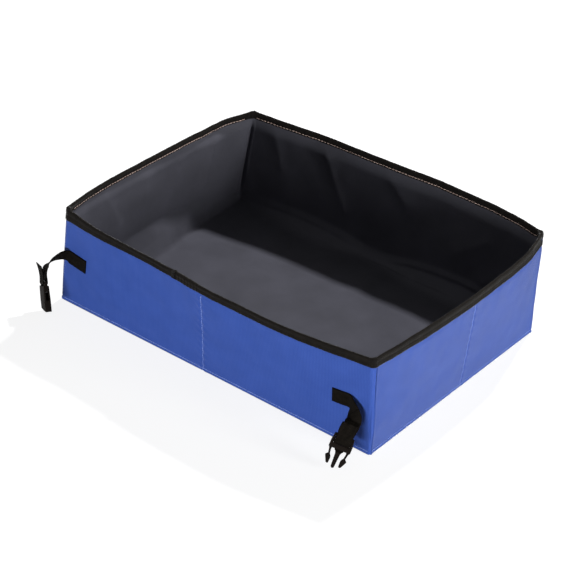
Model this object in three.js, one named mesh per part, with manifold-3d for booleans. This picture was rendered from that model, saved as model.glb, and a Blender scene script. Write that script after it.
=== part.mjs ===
// Folding open-top litter tray of coated cloth, stiffened with boards, with two buckled webbing straps.
// Units are millimetres, +Z is up, and the origin is the middle of the underside.
import * as THREE from 'three';
import { mergeVertices } from 'three/addons/utils/BufferGeometryUtils.js';
import Module from 'manifold-3d';

const wasm = await Module();
wasm.setup();

// Overall shell
const baseLength = 400;
const baseWidth = 300;
const wallHeight = 112;
const rimLengthLoss = 11;
const rimWidthGain = 8;
const bottomCornerRadius = 2.5;
const rimCornerRadius = 5;
const leastCornerRadius = 1.5;

// How far each wall's top edge bows out past a straight line between its corners
const frontBow = 14.5;
const rightBow = 11.5;
const backBow = 16;
const leftBow = 11.3;
const frontBowShares = [0, 0.36, 0.41, 0.61, 0.95, 1, 0.96, 0.53, 0];
const rightBowShares = [0, 0.35, 0.66, 0.87, 1, 0.98, 0.94, 0.7, 0];
const backBowShares = [0, 0.69, 0.93, 1, 0.82, 0.73, 0.64, 0.29, 0];
const leftBowShares = [0, 0.86, 0.97, 1, 0.98, 0.94, 0.84, 0.56, 0];

// How far the rim leans at its back corners, towards the right and towards the back
const backLeftLean = [2, 3.5];
const backRightLean = [-5, 7.5];

// Layers of cloth, board and liner
const coverThickness = 0.8;
const boardThickness = 2;
const linerThickness = 0.8;
const layerGap = 0.3;
const linerCoveRadius = 24;
const boardFoldGap = 4;
const boardCornerGap = 2;
const boardTopDrop = 17;
const linerStepHeight = 4;
const seamGap = 0.3;

// Binding tape folded over the rim
const bindingThickness = 0.8;
const bindingHeight = 12;
const bindingLapStart = -42;
const bindingLapLength = 26;

// Webbing straps, as wide as the buckle's frame lets through
const buckleWidth = 22;
const plugRailWidth = 2.3;
const webbingSideClearance = 0.7;
const webbingWidth = buckleWidth - 2 * plugRailWidth - 2 * webbingSideClearance;
const webbingThickness = 1;
const webbingBendGap = 0.9;
const webbingEndTaper = 0.6;
const webbingEndShare = 0.4;
const strapSeatGap = 0.45;

// Left strap: where it is sewn on and where it leaves the wall, measured from the wall's end
const leftSewnEndInset = 36.8;
const leftSewnEndZ = 56.2;
const leftExitInset = 14.7;
const leftExitZ = 58.2;

// Right strap
const rightSewnEndInset = 48.8;
const rightSewnEndZ = 50.9;
const rightExitInset = 26.4;
const rightExitZ = 53.9;

// Socket half of the buckle
const loopBarDiameter = 3;
const loopSlotLength = 3.6;
const loopRailWidth = 2.4;
const loopRailThickness = 3.2;
const socketLength = 22.2;
const socketThickness = 6.8;
const socketCornerRadius = 2.6;
const socketWall = 1.2;
const socketSideWall = 1.4;
const socketEndWall = 2;
const windowStart = 5.5;
const windowLength = 9.5;
const windowHeight = 3.8;

// Plug half of the buckle
const plugFrameThickness = 3.6;
const endBarLength = 2.4;
const endBarThickness = 1.4;
const endBarSetback = 1.1;
const middleBarDiameter = 2.6;
const middleBarPlace = 7.2;
const crossBarStart = 10.6;
const crossBarLength = 4;
const guideLength = 18.2;
const guideRootWidth = 4.6;
const guideTipWidth = 1.8;
const guideThickness = 2.6;
const prongThickness = 3;
const prongRootPlace = 8.8;
const prongLength = 15.6;
const prongStemWidth = 1.5;
const prongHeadWidth = 3.9;
const prongTipShift = 2.4;
const prongRootGap = 0.3;
const cutOverrun = 1;

// Counts
const longSideSteps = 14;
const shortSideSteps = 10;
const coveSteps = 4;
const ribbonStepsPerRoutePoint = 3;
const barSides = 12;
const turnSteps = 8;

const cornerShare = 0.05;
const sideOrder = ['front', 'right', 'back', 'left'];

function bowCurve(shares) {
  const points = shares.map((share, index) => new THREE.Vector2(index / (shares.length - 1), share));
  return new THREE.SplineCurve(points);
}

const walls = {
  front: { along: [1, 0], out: [0, -1], bow: frontBow, curve: bowCurve(frontBowShares), long: true },
  right: { along: [0, 1], out: [1, 0], bow: rightBow, curve: bowCurve(rightBowShares), long: false },
  back: { along: [-1, 0], out: [0, 1], bow: backBow, curve: bowCurve(backBowShares), long: true },
  left: { along: [0, -1], out: [-1, 0], bow: leftBow, curve: bowCurve(leftBowShares), long: false },
};

function bowAt(side, alongShare, z) {
  const wall = walls[side];
  const share = THREE.MathUtils.clamp((alongShare + 1) / 2, 0, 1);
  return wall.bow * wall.curve.getPoint(share).y * Math.max(z, 0) / wallHeight;
}

function halfSizes(side, z, inset) {
  const rise = z / wallHeight;
  const halfLength = (baseLength - rimLengthLoss * rise) / 2 - inset;
  const halfWidth = (baseWidth + rimWidthGain * rise) / 2 - inset;
  const full = bottomCornerRadius + (rimCornerRadius - bottomCornerRadius) * rise;
  const radius = Math.max(full - inset, leastCornerRadius);
  return walls[side].long
    ? { halfAlong: halfLength, halfOut: halfWidth, radius }
    : { halfAlong: halfWidth, halfOut: halfLength, radius };
}

// The lean at one place: none at the front or the floor, and growing towards the back and the rim
function rimLean(x, y, z) {
  const rightShare = 0.5 + x / baseLength;
  const backShare = (0.5 + y / baseWidth) * Math.max(z, 0) / wallHeight;
  return backLeftLean.map((atLeft, axis) => {
    return backShare * (atLeft + (backRightLean[axis] - atLeft) * rightShare);
  });
}

// A point on the shell: share runs 0 to 1 along one wall from mid corner to mid corner,
// and inset is measured inward from the cover's outer face.
function shellPoint(side, share, z, inset) {
  const wall = walls[side];
  const { halfAlong, halfOut, radius } = halfSizes(side, z, inset);
  const straight = halfAlong - radius;
  const quarter = Math.PI / 4;
  let along;
  let turn = 0;
  if (share < cornerShare) {
    turn = quarter * (1 - share / cornerShare);
    along = -straight - radius * Math.sin(turn);
  } else if (share > 1 - cornerShare) {
    turn = quarter * (share - 1 + cornerShare) / cornerShare;
    along = straight + radius * Math.sin(turn);
  } else {
    along = straight * (2 * (share - cornerShare) / (1 - 2 * cornerShare) - 1);
  }
  let out = halfOut - radius * (1 - Math.cos(turn));
  const next = sideOrder[(sideOrder.indexOf(side) + 1) % sideOrder.length];
  const before = sideOrder[(sideOrder.indexOf(side) + sideOrder.length - 1) % sideOrder.length];
  const ownBow = bowAt(side, along / (halfAlong + inset), z) * Math.cos(turn);
  const sideBow = share < 0.5
    ? -bowAt(before, out / (halfOut + inset), z) * Math.sin(turn)
    : bowAt(next, -out / (halfOut + inset), z) * Math.sin(turn);
  along += sideBow;
  out += ownBow;
  const x = wall.along[0] * along + wall.out[0] * out;
  const y = wall.along[1] * along + wall.out[1] * out;
  const [leanX, leanY] = rimLean(x, y, z);
  return new THREE.Vector3(x + leanX, y + leanY, z);
}

// The share along a wall of a place given in millimetres from the wall's middle, at one height
function shareOf(side, place, z) {
  const { halfAlong, radius } = halfSizes(side, z, 0);
  return 0.5 + (place / (halfAlong - radius)) * (0.5 - cornerShare);
}

// Where every layer of a wall has its columns of points, so that the layers stay parallel
function wallShares(side) {
  const steps = walls[side].long ? longSideSteps : shortSideSteps;
  const middle = [];
  for (let i = 0; i <= steps; i += 1) middle.push(cornerShare + (1 - 2 * cornerShare) * i / steps);
  return [0, cornerShare / 2, ...middle, 1 - cornerShare / 2, 1];
}

function meshGeometry(points, triangles) {
  const geometry = new THREE.BufferGeometry();
  const coordinates = points.flatMap((p) => [p.x, p.y, p.z]);
  geometry.setAttribute('position', new THREE.Float32BufferAttribute(coordinates, 3));
  geometry.setIndex(triangles);
  return geometry;
}

// Joins two neighbouring sections point by point. Each four-cornered cell is split from its low corner
// on the first section to its high corner on the second, so that parallel layers split alike.
function joinSections(points, triangles, first, second, skipped = -1) {
  for (let i = 0; i < first.length; i += 1) {
    if (i === skipped) continue;
    const j = (i + 1) % first.length;
    const rising = points[first[j]].z >= points[first[i]].z;
    if (rising) triangles.push(second[i], second[j], first[i], second[j], first[j], first[i]);
    else triangles.push(second[i], second[j], first[j], second[i], first[j], first[i]);
  }
}

// Heights from low to high, with a row at every height that the layers share
function rowsBetween(low, high) {
  return [low, ...sharedHeights.filter((height) => height > low && height < high), high];
}

// A thick sheet following one wall, between two insets and two heights
function wallSheet(side, shares, low, high, outer, inner) {
  const points = [];
  const triangles = [];
  const heights = rowsBetween(low, high);
  const columns = shares.map((share) => {
    const outside = heights.map((z) => shellPoint(side, share, z, outer));
    const inside = heights.map((z) => shellPoint(side, share, z, inner)).reverse();
    return [...outside, ...inside].map((point) => points.push(point) - 1);
  });
  for (let i = 0; i < columns.length - 1; i += 1) {
    joinSections(points, triangles, columns[i], columns[i + 1]);
  }
  const cap = (column, flip) => {
    for (let i = 0; i < heights.length - 1; i += 1) {
      const end = column.length - 1 - i;
      const quad = [column[i], column[i + 1], column[end - 1], column[end]];
      const order = flip ? [quad[0], quad[3], quad[2], quad[0], quad[2], quad[1]]
        : [quad[0], quad[1], quad[2], quad[0], quad[2], quad[3]];
      triangles.push(...order);
    }
  };
  cap(columns[0], false);
  cap(columns[columns.length - 1], true);
  return meshGeometry(points, triangles);
}

// All stations round the shell, as [side, share], each mid corner once
function roundShares(extraFront = []) {
  const stations = [];
  sideOrder.forEach((side) => {
    const shares = wallShares(side).slice(0, -1);
    const all = side === 'front' ? [...shares, ...extraFront].sort((a, b) => a - b) : shares;
    all.forEach((share) => stations.push([side, share]));
  });
  return stations;
}

// A closed section, a list of { inset, z }, carried all round the shell
function shellRing(stations, sectionAt) {
  const points = [];
  const triangles = [];
  const loops = stations.map(([side, share]) => sectionAt(side, share)
    .map(({ inset, z }) => points.push(shellPoint(side, share, z, inset)) - 1));
  loops.forEach((loop, index) => {
    joinSections(points, triangles, loop, loops[(index + 1) % loops.length]);
  });
  return meshGeometry(points, triangles);
}

// An open-topped bag: its section runs up the inside from the floor's edge and down the outside to it
function shellBag(stations, inside, outside) {
  const points = [];
  const triangles = [];
  const section = [...outside, ...inside];
  const loops = stations.map(([side, share]) => section
    .map(({ inset, z }) => points.push(shellPoint(side, share, z, inset)) - 1));
  const last = section.length - 1;
  loops.forEach((loop, index) => {
    joinSections(points, triangles, loop, loops[(index + 1) % loops.length], last);
  });
  const cap = (place, up) => {
    const centre = points.push(new THREE.Vector3(0, 0, section[place].z)) - 1;
    loops.forEach((loop, i) => {
      const following = loops[(i + 1) % loops.length];
      triangles.push(centre, up ? loop[place] : following[place], up ? following[place] : loop[place]);
    });
  };
  cap(0, false);
  cap(last, true);
  return meshGeometry(points, triangles);
}

// Layer places, inward from the cover's outer face
const coverInner = coverThickness;
const boardOuter = coverInner + layerGap;
const boardInner = boardOuter + boardThickness;
const linerOuter = boardInner + layerGap;
const linerInner = linerOuter + linerThickness;
const linerRimOuter = coverInner + layerGap;
const linerRimInner = linerRimOuter + linerThickness;
const boardBaseZ = coverThickness + layerGap;
const linerFloorZ = boardBaseZ + boardThickness + layerGap;
const rimTop = wallHeight + layerGap + bindingThickness;
const bindingBottom = rimTop - bindingHeight;
const linerStepTop = bindingBottom - layerGap;
const linerStepBottom = linerStepTop - linerStepHeight;
const boardTop = rimTop - boardTopDrop;

const sharedHeights = [wallHeight / 4, wallHeight / 2, wallHeight * 0.75, boardTop];

const root = new THREE.Group();

function add(name, geometry, material, parent = root) {
  const mesh = new THREE.Mesh(geometry, material);
  mesh.name = name;
  parent.add(mesh);
  return mesh;
}

const oxfordCloth = new THREE.MeshStandardMaterial({ color: '#3f5fae', roughness: 0.85 });
const linerFilm = new THREE.MeshStandardMaterial({ color: '#4a4a4e', roughness: 0.45 });
const stiffBoard = new THREE.MeshStandardMaterial({ color: '#8d8a84', roughness: 0.8 });
const bindingTape = new THREE.MeshStandardMaterial({ color: '#232021', roughness: 0.8 });
const webbing = new THREE.MeshStandardMaterial({ color: '#1d1c1b', roughness: 0.85 });
const acetal = new THREE.MeshStandardMaterial({ color: '#161616', roughness: 0.4 });

// Cover: four wall panels and a base panel, sewn together along the edges
function coverPanel(side) {
  const gapShare = shareOf(side, seamGap / 2, 0) - 0.5;
  const shares = wallShares(side);
  shares[0] = gapShare;
  shares[shares.length - 1] = 1 - gapShare;
  add(`cover_${side}`, wallSheet(side, shares, 0, wallHeight, 0, coverInner), oxfordCloth);
}
sideOrder.forEach(coverPanel);

function floorPlate(halfX, halfY, radius, thickness) {
  const shape = new THREE.Shape();
  shape.moveTo(-halfX + radius, -halfY);
  shape.lineTo(halfX - radius, -halfY);
  shape.absarc(halfX - radius, -halfY + radius, radius, -Math.PI / 2, 0);
  shape.lineTo(halfX, halfY - radius);
  shape.absarc(halfX - radius, halfY - radius, radius, 0, Math.PI / 2);
  shape.lineTo(-halfX + radius, halfY);
  shape.absarc(-halfX + radius, halfY - radius, radius, Math.PI / 2, Math.PI);
  shape.lineTo(-halfX, -halfY + radius);
  shape.absarc(-halfX + radius, -halfY + radius, radius, Math.PI, 1.5 * Math.PI);
  return new THREE.ExtrudeGeometry(shape, { depth: thickness, bevelEnabled: false, curveSegments: 3 });
}

const basePlate = floorPlate(
  baseLength / 2 - coverInner - layerGap,
  baseWidth / 2 - coverInner - layerGap,
  bottomCornerRadius - coverInner - layerGap,
  coverThickness,
);
add('cover_base', basePlate, oxfordCloth);

// Boards: two in each wall and two in the base, either side of the fold line
function wallBoard(name, side, from, to) {
  const shares = [from, ...wallShares(side).filter((share) => share > from && share < to), to];
  add(name, wallSheet(side, shares, boardBaseZ, boardTop, boardOuter, boardInner), stiffBoard);
}

function wallBoards(side, firstName, secondName) {
  const cornerEnd = shareOf(side, boardCornerGap, 0) - 0.5;
  const foldEnd = shareOf(side, boardFoldGap / 2, 0);
  wallBoard(firstName, side, cornerShare + cornerEnd, 1 - foldEnd);
  wallBoard(secondName, side, foldEnd, 1 - cornerShare - cornerEnd);
}
wallBoards('front', 'board_front_left', 'board_front_right');
wallBoards('right', 'board_right_front', 'board_right_back');
wallBoards('back', 'board_back_right', 'board_back_left');
wallBoards('left', 'board_left_back', 'board_left_front');

function baseBoard(name, direction) {
  const clearEdge = linerOuter + layerGap;
  const length = baseLength / 2 - clearEdge - boardFoldGap / 2;
  const plate = new THREE.BoxGeometry(length, baseWidth - 2 * clearEdge, boardThickness);
  const mesh = add(name, plate, stiffBoard);
  mesh.position.set(direction * (boardFoldGap + length) / 2, 0, boardBaseZ + boardThickness / 2);
}
baseBoard('board_base_left', -1);
baseBoard('board_base_right', 1);

// Liner: one welded bag with a rounded cove from wall to floor, listed from the floor up
function linerSection(wallInset, rimInset, radius) {
  const section = [];
  for (let i = coveSteps; i >= 0; i -= 1) {
    const turn = (Math.PI / 2) * (i / coveSteps);
    section.push({
      inset: linerOuter + linerCoveRadius - radius * Math.cos(turn),
      z: linerFloorZ + linerCoveRadius - radius * Math.sin(turn),
    });
  }
  const coveTop = linerFloorZ + linerCoveRadius + layerGap;
  sharedHeights.filter((height) => height > coveTop && height < linerStepBottom)
    .forEach((height) => section.push({ inset: wallInset, z: height }));
  section.push(
    { inset: wallInset, z: linerStepBottom },
    { inset: rimInset, z: linerStepTop },
    { inset: rimInset, z: wallHeight },
  );
  return section;
}
const linerOutside = linerSection(linerOuter, linerRimOuter, linerCoveRadius);
const linerInside = linerSection(linerInner, linerRimInner, linerCoveRadius - linerThickness);
add('liner', shellBag(roundShares(), linerInside.reverse(), linerOutside), linerFilm);

// Binding: one tape folded over the rim, its ends lapped on the front wall
const lapStartShare = shareOf('front', bindingLapStart, wallHeight);
const lapEndShare = shareOf('front', bindingLapStart + bindingLapLength, wallHeight);
const lapEdgeShare = shareOf('front', bindingThickness, wallHeight) - 0.5;
const lapStations = [
  lapStartShare,
  lapStartShare + lapEdgeShare,
  lapEndShare - lapEdgeShare,
  lapEndShare,
];

function bindingSection(side, share) {
  const lapped = side === 'front' && share > lapStations[0] && share < lapStations[3];
  const extra = lapped ? bindingThickness : 0;
  const outerIn = -layerGap;
  const outerOut = outerIn - bindingThickness - extra;
  const innerOut = linerRimInner + layerGap;
  const innerIn = innerOut + bindingThickness;
  const top = rimTop + extra;
  return [
    { inset: outerOut, z: bindingBottom },
    { inset: outerOut, z: top },
    { inset: innerIn, z: top },
    { inset: innerIn, z: bindingBottom },
    { inset: innerOut, z: bindingBottom },
    { inset: innerOut, z: rimTop - bindingThickness },
    { inset: outerIn, z: rimTop - bindingThickness },
    { inset: outerIn, z: bindingBottom },
  ];
}
add('rim_binding', shellRing(roundShares(lapStations), bindingSection), bindingTape);

// Webbing: a flat ribbon through route points { at, across }, thinned at the ends where it bends
function ribbonGeometry(route, trimStart, trimEnd) {
  const curve = new THREE.CatmullRomCurve3(route.map((point) => point.at), false, 'centripetal');
  const acrossCurve = new THREE.CatmullRomCurve3(route.map((point) => point.across));
  const count = (route.length - 1) * ribbonStepsPerRoutePoint;
  const stations = [];
  for (let i = 0; i <= count; i += 1) stations.push(i / count);
  const rings = stations.map((t) => ({
    at: curve.getPoint(t),
    across: acrossCurve.getPoint(t),
    along: curve.getTangent(t),
  }));
  const pull = (ring, direction, distance) => {
    const at = ring.at.clone().addScaledVector(ring.along, direction * distance);
    return { ...ring, at };
  };
  if (trimStart) rings[0] = pull(rings[0], 1, webbingBendGap / 2);
  if (trimEnd) rings[count] = pull(rings[count], -1, webbingBendGap / 2);
  if (trimStart) rings.splice(1, 0, pull(rings[0], 1, webbingEndTaper));
  if (trimEnd) rings.splice(rings.length - 1, 0, pull(rings[rings.length - 1], -1, webbingEndTaper));
  const points = [];
  const triangles = [];
  const corners = [[1, 1], [-1, 1], [-1, -1], [1, -1]];
  const loops = rings.map((ring, index) => {
    const thinned = (index === 0 && trimStart) || (index === rings.length - 1 && trimEnd);
    const thickness = webbingThickness * (thinned ? webbingEndShare : 1);
    const across = ring.across.clone().normalize();
    const normal = new THREE.Vector3().crossVectors(ring.along, across).normalize();
    return corners.map(([a, b]) => points.push(ring.at.clone()
      .addScaledVector(across, a * webbingWidth / 2)
      .addScaledVector(normal, b * thickness / 2)) - 1);
  });
  for (let i = 0; i < loops.length - 1; i += 1) {
    loops[i].forEach((corner, side) => {
      const after = (side + 1) % corners.length;
      const far = loops[i + 1][after];
      triangles.push(corner, loops[i][after], far, corner, far, loops[i + 1][side]);
    });
  }
  const first = loops[0];
  const last = loops[loops.length - 1];
  triangles.push(first[0], first[2], first[1], first[0], first[3], first[2]);
  triangles.push(last[0], last[1], last[2], last[0], last[2], last[3]);
  return meshGeometry(points, triangles);
}

function onFrontWall(x, z) {
  return shellPoint('front', shareOf('front', x, z), z, -strapSeatGap - webbingThickness / 2);
}

// The sewn-on end of a strap, lying against the front wall from one place to another
function anchorRoute(startX, startZ, endX, endZ) {
  const lean = (startZ - endZ) / (endX - startX) * webbingWidth / 2;
  return [0, 0.5, 1].map((share) => {
    const x = THREE.MathUtils.lerp(startX, endX, share);
    const z = THREE.MathUtils.lerp(startZ, endZ, share);
    const top = onFrontWall(x + lean, z + webbingWidth / 2);
    const bottom = onFrontWall(x - lean, z - webbingWidth / 2);
    return { at: onFrontWall(x, z), across: top.sub(bottom).normalize() };
  });
}

function unit(x, y, z) {
  return new THREE.Vector3(x, y, z).normalize();
}

function offsetFrom(start, shares) {
  return start.clone().add(new THREE.Vector3(...shares).multiplyScalar(webbingWidth));
}

// Route points away from the wall are offsets in webbing widths, each with the direction across the strap
function routeFrom(start, routeShares) {
  return routeShares.map(({ offset, across }) => {
    return { at: offsetFrom(start, offset), across: unit(...across) };
  });
}

function frameOf(along, across) {
  const alongUnit = unit(...along);
  const acrossUnit = unit(...across);
  acrossUnit.addScaledVector(alongUnit, -acrossUnit.dot(alongUnit)).normalize();
  const normal = new THREE.Vector3().crossVectors(acrossUnit, alongUnit).normalize();
  return { along: alongUnit, across: acrossUnit, normal };
}

function placeInFrame(mesh, origin, frame) {
  const matrix = new THREE.Matrix4().makeBasis(frame.across, frame.along, frame.normal);
  mesh.quaternion.setFromRotationMatrix(matrix);
  mesh.position.copy(origin);
}

function inFrame(origin, frame, across, along, normal) {
  return origin.clone()
    .addScaledVector(frame.across, across)
    .addScaledVector(frame.along, along)
    .addScaledVector(frame.normal, normal);
}

// Left strap
const leftEndX = -baseLength / 2;
const leftSewnEndX = leftEndX + leftSewnEndInset;
const leftExitX = leftEndX + leftExitInset;
const leftAnchorRoute = anchorRoute(leftSewnEndX, leftSewnEndZ, leftExitX, leftExitZ);
const leftExit = leftAnchorRoute[2].at;
add('left_strap_anchor', ribbonGeometry(leftAnchorRoute, false, true), webbing);

const leftUpperRouteShares = [
  { offset: [-0.23, -0.11, 0.1], across: [0.16, -0.3, 0.94] },
  { offset: [-0.41, -0.36, 0.13], across: [0.26, -0.46, 0.85] },
  { offset: [-0.6, -0.6, 0.02], across: [0.33, -0.6, 0.72] },
  { offset: [-0.79, -0.82, -0.15], across: [0.42, -0.68, 0.58] },
  { offset: [-0.91, -0.98, -0.36], across: [0.53, -0.72, 0.45] },
];
const leftUpperRoute = [leftAnchorRoute[2], ...routeFrom(leftExit, leftUpperRouteShares)];
add('left_strap_upper', ribbonGeometry(leftUpperRoute, true, true), webbing);
const leftBend = leftUpperRoute[leftUpperRoute.length - 1];

const socketDirectionShares = [0.408, -0.264, -0.874];
const socketAcrossShares = [0.721, -0.493, 0.487];
const socketFrame = frameOf(socketDirectionShares, socketAcrossShares);
const socketBarShares = [-0.99, -1.42, -1.7];
const socketBar = offsetFrom(leftExit, socketBarShares);

// The webbing turns round a bar: half a circle from one face to the other
function turnRoundBar(origin, frame, radius, startSide) {
  const route = [];
  for (let i = 0; i <= turnSteps; i += 1) {
    const angle = Math.PI * i / turnSteps;
    route.push({
      at: inFrame(origin, frame, 0, radius * Math.sin(angle), startSide * radius * Math.cos(angle)),
      across: frame.across.clone(),
    });
  }
  return route;
}

const loopTurnRadius = loopBarDiameter / 2 + layerGap + webbingThickness / 2;
const leftLowerRouteShares = [
  { offset: [-0.98, -1.11, -0.66], across: [0.62, -0.66, 0.42] },
  { offset: [-0.95, -1.22, -1.02], across: [0.68, -0.6, 0.42] },
];
const leftTailShares = [
  { along: -0.6, normal: -0.15 },
  { along: -0.95, normal: -0.19 },
  { along: -1.22, normal: -0.36 },
];
const leftLowerRoute = [
  leftBend,
  ...routeFrom(leftExit, leftLowerRouteShares),
  ...turnRoundBar(socketBar, socketFrame, loopTurnRadius, 1),
  ...leftTailShares.map((share) => ({
    at: inFrame(socketBar, socketFrame, 0, share.along * webbingWidth, share.normal * webbingWidth),
    across: socketFrame.across.clone(),
  })),
];
add('left_strap_lower', ribbonGeometry(leftLowerRoute, true, false), webbing);

// Solid helpers for moulded plastic pieces
function solid(geometry) {
  const bare = geometry.clone();
  bare.deleteAttribute('normal');
  bare.deleteAttribute('uv');
  const merged = mergeVertices(bare);
  return new wasm.Manifold(new wasm.Mesh({
    numProp: 3,
    vertProperties: new Float32Array(merged.attributes.position.array),
    triVerts: new Uint32Array(merged.index.array),
  }));
}

function backToGeometry(manifold) {
  const mesh = manifold.getMesh();
  const geometry = new THREE.BufferGeometry();
  geometry.setAttribute('position', new THREE.BufferAttribute(new Float32Array(mesh.vertProperties), 3));
  geometry.setIndex(new THREE.BufferAttribute(new Uint32Array(mesh.triVerts), 1));
  return geometry;
}

function box(width, length, height, x, y, z) {
  return new THREE.BoxGeometry(width, length, height).translate(x, y, z);
}

function barAcross(diameter, width, y, z) {
  const bar = new THREE.CylinderGeometry(diameter / 2, diameter / 2, width, barSides);
  return bar.rotateZ(Math.PI / 2).translate(0, y, z);
}

function roundedTube(width, thickness, radius, length, start) {
  const shape = new THREE.Shape();
  const x = width / 2;
  const z = thickness / 2;
  const r = Math.min(radius, z);
  shape.moveTo(-x + r, -z);
  shape.lineTo(x - r, -z);
  shape.absarc(x - r, -z + r, r, -Math.PI / 2, 0);
  shape.lineTo(x, z - r);
  shape.absarc(x - r, z - r, r, 0, Math.PI / 2);
  shape.lineTo(-x + r, z);
  shape.absarc(-x + r, z - r, r, Math.PI / 2, Math.PI);
  shape.lineTo(-x, -z + r);
  shape.absarc(-x + r, -z + r, r, Math.PI, 1.5 * Math.PI);
  const block = new THREE.ExtrudeGeometry(shape, { depth: length, bevelEnabled: false, curveSegments: 4 });
  return block.rotateX(-Math.PI / 2).translate(0, start, 0);
}

// Socket half: a loop bar for the webbing and a hollow body, open at the far end, with side windows
const loopBarRadius = loopBarDiameter / 2;
const socketStart = loopBarRadius + loopSlotLength;
function socketGeometry() {
  const rails = [-1, 1].map((side) => box(
    loopRailWidth,
    socketStart + loopBarRadius + cutOverrun,
    loopRailThickness,
    side * (buckleWidth - loopRailWidth) / 2,
    (socketStart - loopBarRadius + cutOverrun) / 2,
    0,
  ));
  const bar = barAcross(loopBarDiameter, buckleWidth - loopRailWidth, 0, 0);
  const body = roundedTube(buckleWidth, socketThickness, socketCornerRadius, socketLength, socketStart);
  const cavity = roundedTube(
    buckleWidth - 2 * socketSideWall,
    socketThickness - 2 * socketWall,
    socketCornerRadius - socketWall,
    socketLength - socketEndWall + cutOverrun,
    socketStart + socketEndWall,
  );
  const window = box(
    buckleWidth + 2 * cutOverrun,
    windowLength,
    windowHeight,
    0,
    socketStart + windowStart + windowLength / 2,
    0,
  );
  const joined = solid(body).add(solid(rails[0])).add(solid(rails[1])).add(solid(bar));
  return backToGeometry(joined.subtract(solid(cavity)).subtract(solid(window)));
}
const socketMesh = add('buckle_socket', socketGeometry(), acetal);
placeInFrame(socketMesh, socketBar, socketFrame);

// Right strap
const rightEndX = baseLength / 2;
const rightSewnEndX = rightEndX - rightSewnEndInset;
const rightExitX = rightEndX - rightExitInset;
const rightAnchorRoute = anchorRoute(rightSewnEndX, rightSewnEndZ, rightExitX, rightExitZ);
const rightExit = rightAnchorRoute[2].at;
add('right_strap_anchor', ribbonGeometry(rightAnchorRoute, false, true), webbing);

const rightUpperRouteShares = [
  { offset: [0.3, -0.24, -0.18], across: [0.4, -0.1, 0.9] },
  { offset: [0.57, -0.48, -0.52], across: [0.86, 0.32, 0.34] },
  { offset: [0.71, -0.66, -0.84], across: [0.89, 0.46, -0.08] },
];
const rightUpperRoute = [rightAnchorRoute[2], ...routeFrom(rightExit, rightUpperRouteShares)];
add('right_strap_upper', ribbonGeometry(rightUpperRoute, true, true), webbing);
const rightBend = rightUpperRoute[rightUpperRoute.length - 1];

const plugDirectionShares = [0.027, -0.574, -0.818];
const plugAcrossShares = [0.88, 0.402, -0.253];
const plugFrame = frameOf(plugDirectionShares, plugAcrossShares);
const plugBarShares = [0.82, -1.65, -1.78];
const plugBar = offsetFrom(rightExit, plugBarShares);
const plugTurnRadius = middleBarDiameter / 2 + layerGap + webbingThickness / 2;
const nearFace = -1;
const layerPitch = webbingThickness + layerGap;
const mainAtEndBar = nearFace * (webbingThickness / 2 + layerGap - endBarSetback + endBarThickness / 2);
const tailAtEndBar = mainAtEndBar + nearFace * layerPitch;
const endBarPlace = -(middleBarPlace - endBarLength / 2);
const tailStitchShare = 0.35;
const tailEndShare = 0.82;
const mainSkewShare = 0.06;
const tailSkewShare = 0.1;

// A point beside the plug; its place along is measured back from the end bar's edge, in webbing widths
function besidePlug(skewShare, backShare, normal) {
  const along = -(middleBarPlace + backShare * webbingWidth);
  const at = inFrame(plugBar, plugFrame, skewShare * webbingWidth, along, normal);
  return { at, across: plugFrame.across.clone() };
}

function atEndBar(normal, along = endBarPlace) {
  return { at: inFrame(plugBar, plugFrame, 0, along, normal), across: plugFrame.across.clone() };
}
const rightLowerRoute = [
  rightBend,
  besidePlug(mainSkewShare, tailStitchShare, mainAtEndBar),
  atEndBar(mainAtEndBar, endBarPlace + endBarLength / 2),
  ...turnRoundBar(plugBar, plugFrame, plugTurnRadius, -nearFace),
  atEndBar(tailAtEndBar + nearFace * layerGap),
  besidePlug(mainSkewShare, tailStitchShare, tailAtEndBar),
  besidePlug(tailSkewShare, tailEndShare, tailAtEndBar),
];
add('right_strap_lower', ribbonGeometry(rightLowerRoute, true, false), webbing);

// Plug half: a frame with two bars for the webbing, and a stiff centre guide
const frameEnd = crossBarStart + crossBarLength - middleBarPlace;
function guideShape() {
  const shape = new THREE.Shape();
  shape.moveTo(-guideRootWidth / 2, -cutOverrun);
  shape.lineTo(guideRootWidth / 2, -cutOverrun);
  const tipHalf = guideTipWidth / 2;
  shape.quadraticCurveTo(tipHalf, guideLength / 4, tipHalf, guideLength - tipHalf);
  shape.absarc(0, guideLength - tipHalf, tipHalf, 0, Math.PI);
  shape.quadraticCurveTo(-tipHalf, guideLength / 4, -guideRootWidth / 2, -cutOverrun);
  return shape;
}

function plateOf(shape, thickness, y) {
  return new THREE.ExtrudeGeometry(shape, { depth: thickness, bevelEnabled: false, curveSegments: 5 })
    .translate(0, y, -thickness / 2);
}

function plugGeometry() {
  const frameLength = crossBarStart + crossBarLength;
  const rails = [-1, 1].map((side) => box(
    plugRailWidth,
    frameLength,
    plugFrameThickness,
    side * (buckleWidth - plugRailWidth) / 2,
    frameEnd - frameLength / 2,
    0,
  ));
  const crossBarPlace = frameEnd - crossBarLength / 2;
  const crossBar = box(buckleWidth, crossBarLength, plugFrameThickness, 0, crossBarPlace, 0);
  const endBar = box(
    buckleWidth - plugRailWidth,
    endBarLength,
    endBarThickness,
    0,
    endBarPlace,
    -nearFace * endBarSetback,
  );
  const middleBar = barAcross(middleBarDiameter, buckleWidth - plugRailWidth, 0, 0);
  const guide = plateOf(guideShape(), guideThickness, frameEnd);
  let joined = solid(crossBar);
  [...rails, endBar, middleBar, guide].forEach((piece) => {
    joined = joined.add(solid(piece));
  });
  return backToGeometry(joined);
}
const plugMesh = add('buckle_plug', plugGeometry(), acetal);
placeInFrame(plugMesh, plugBar, plugFrame);

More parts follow.
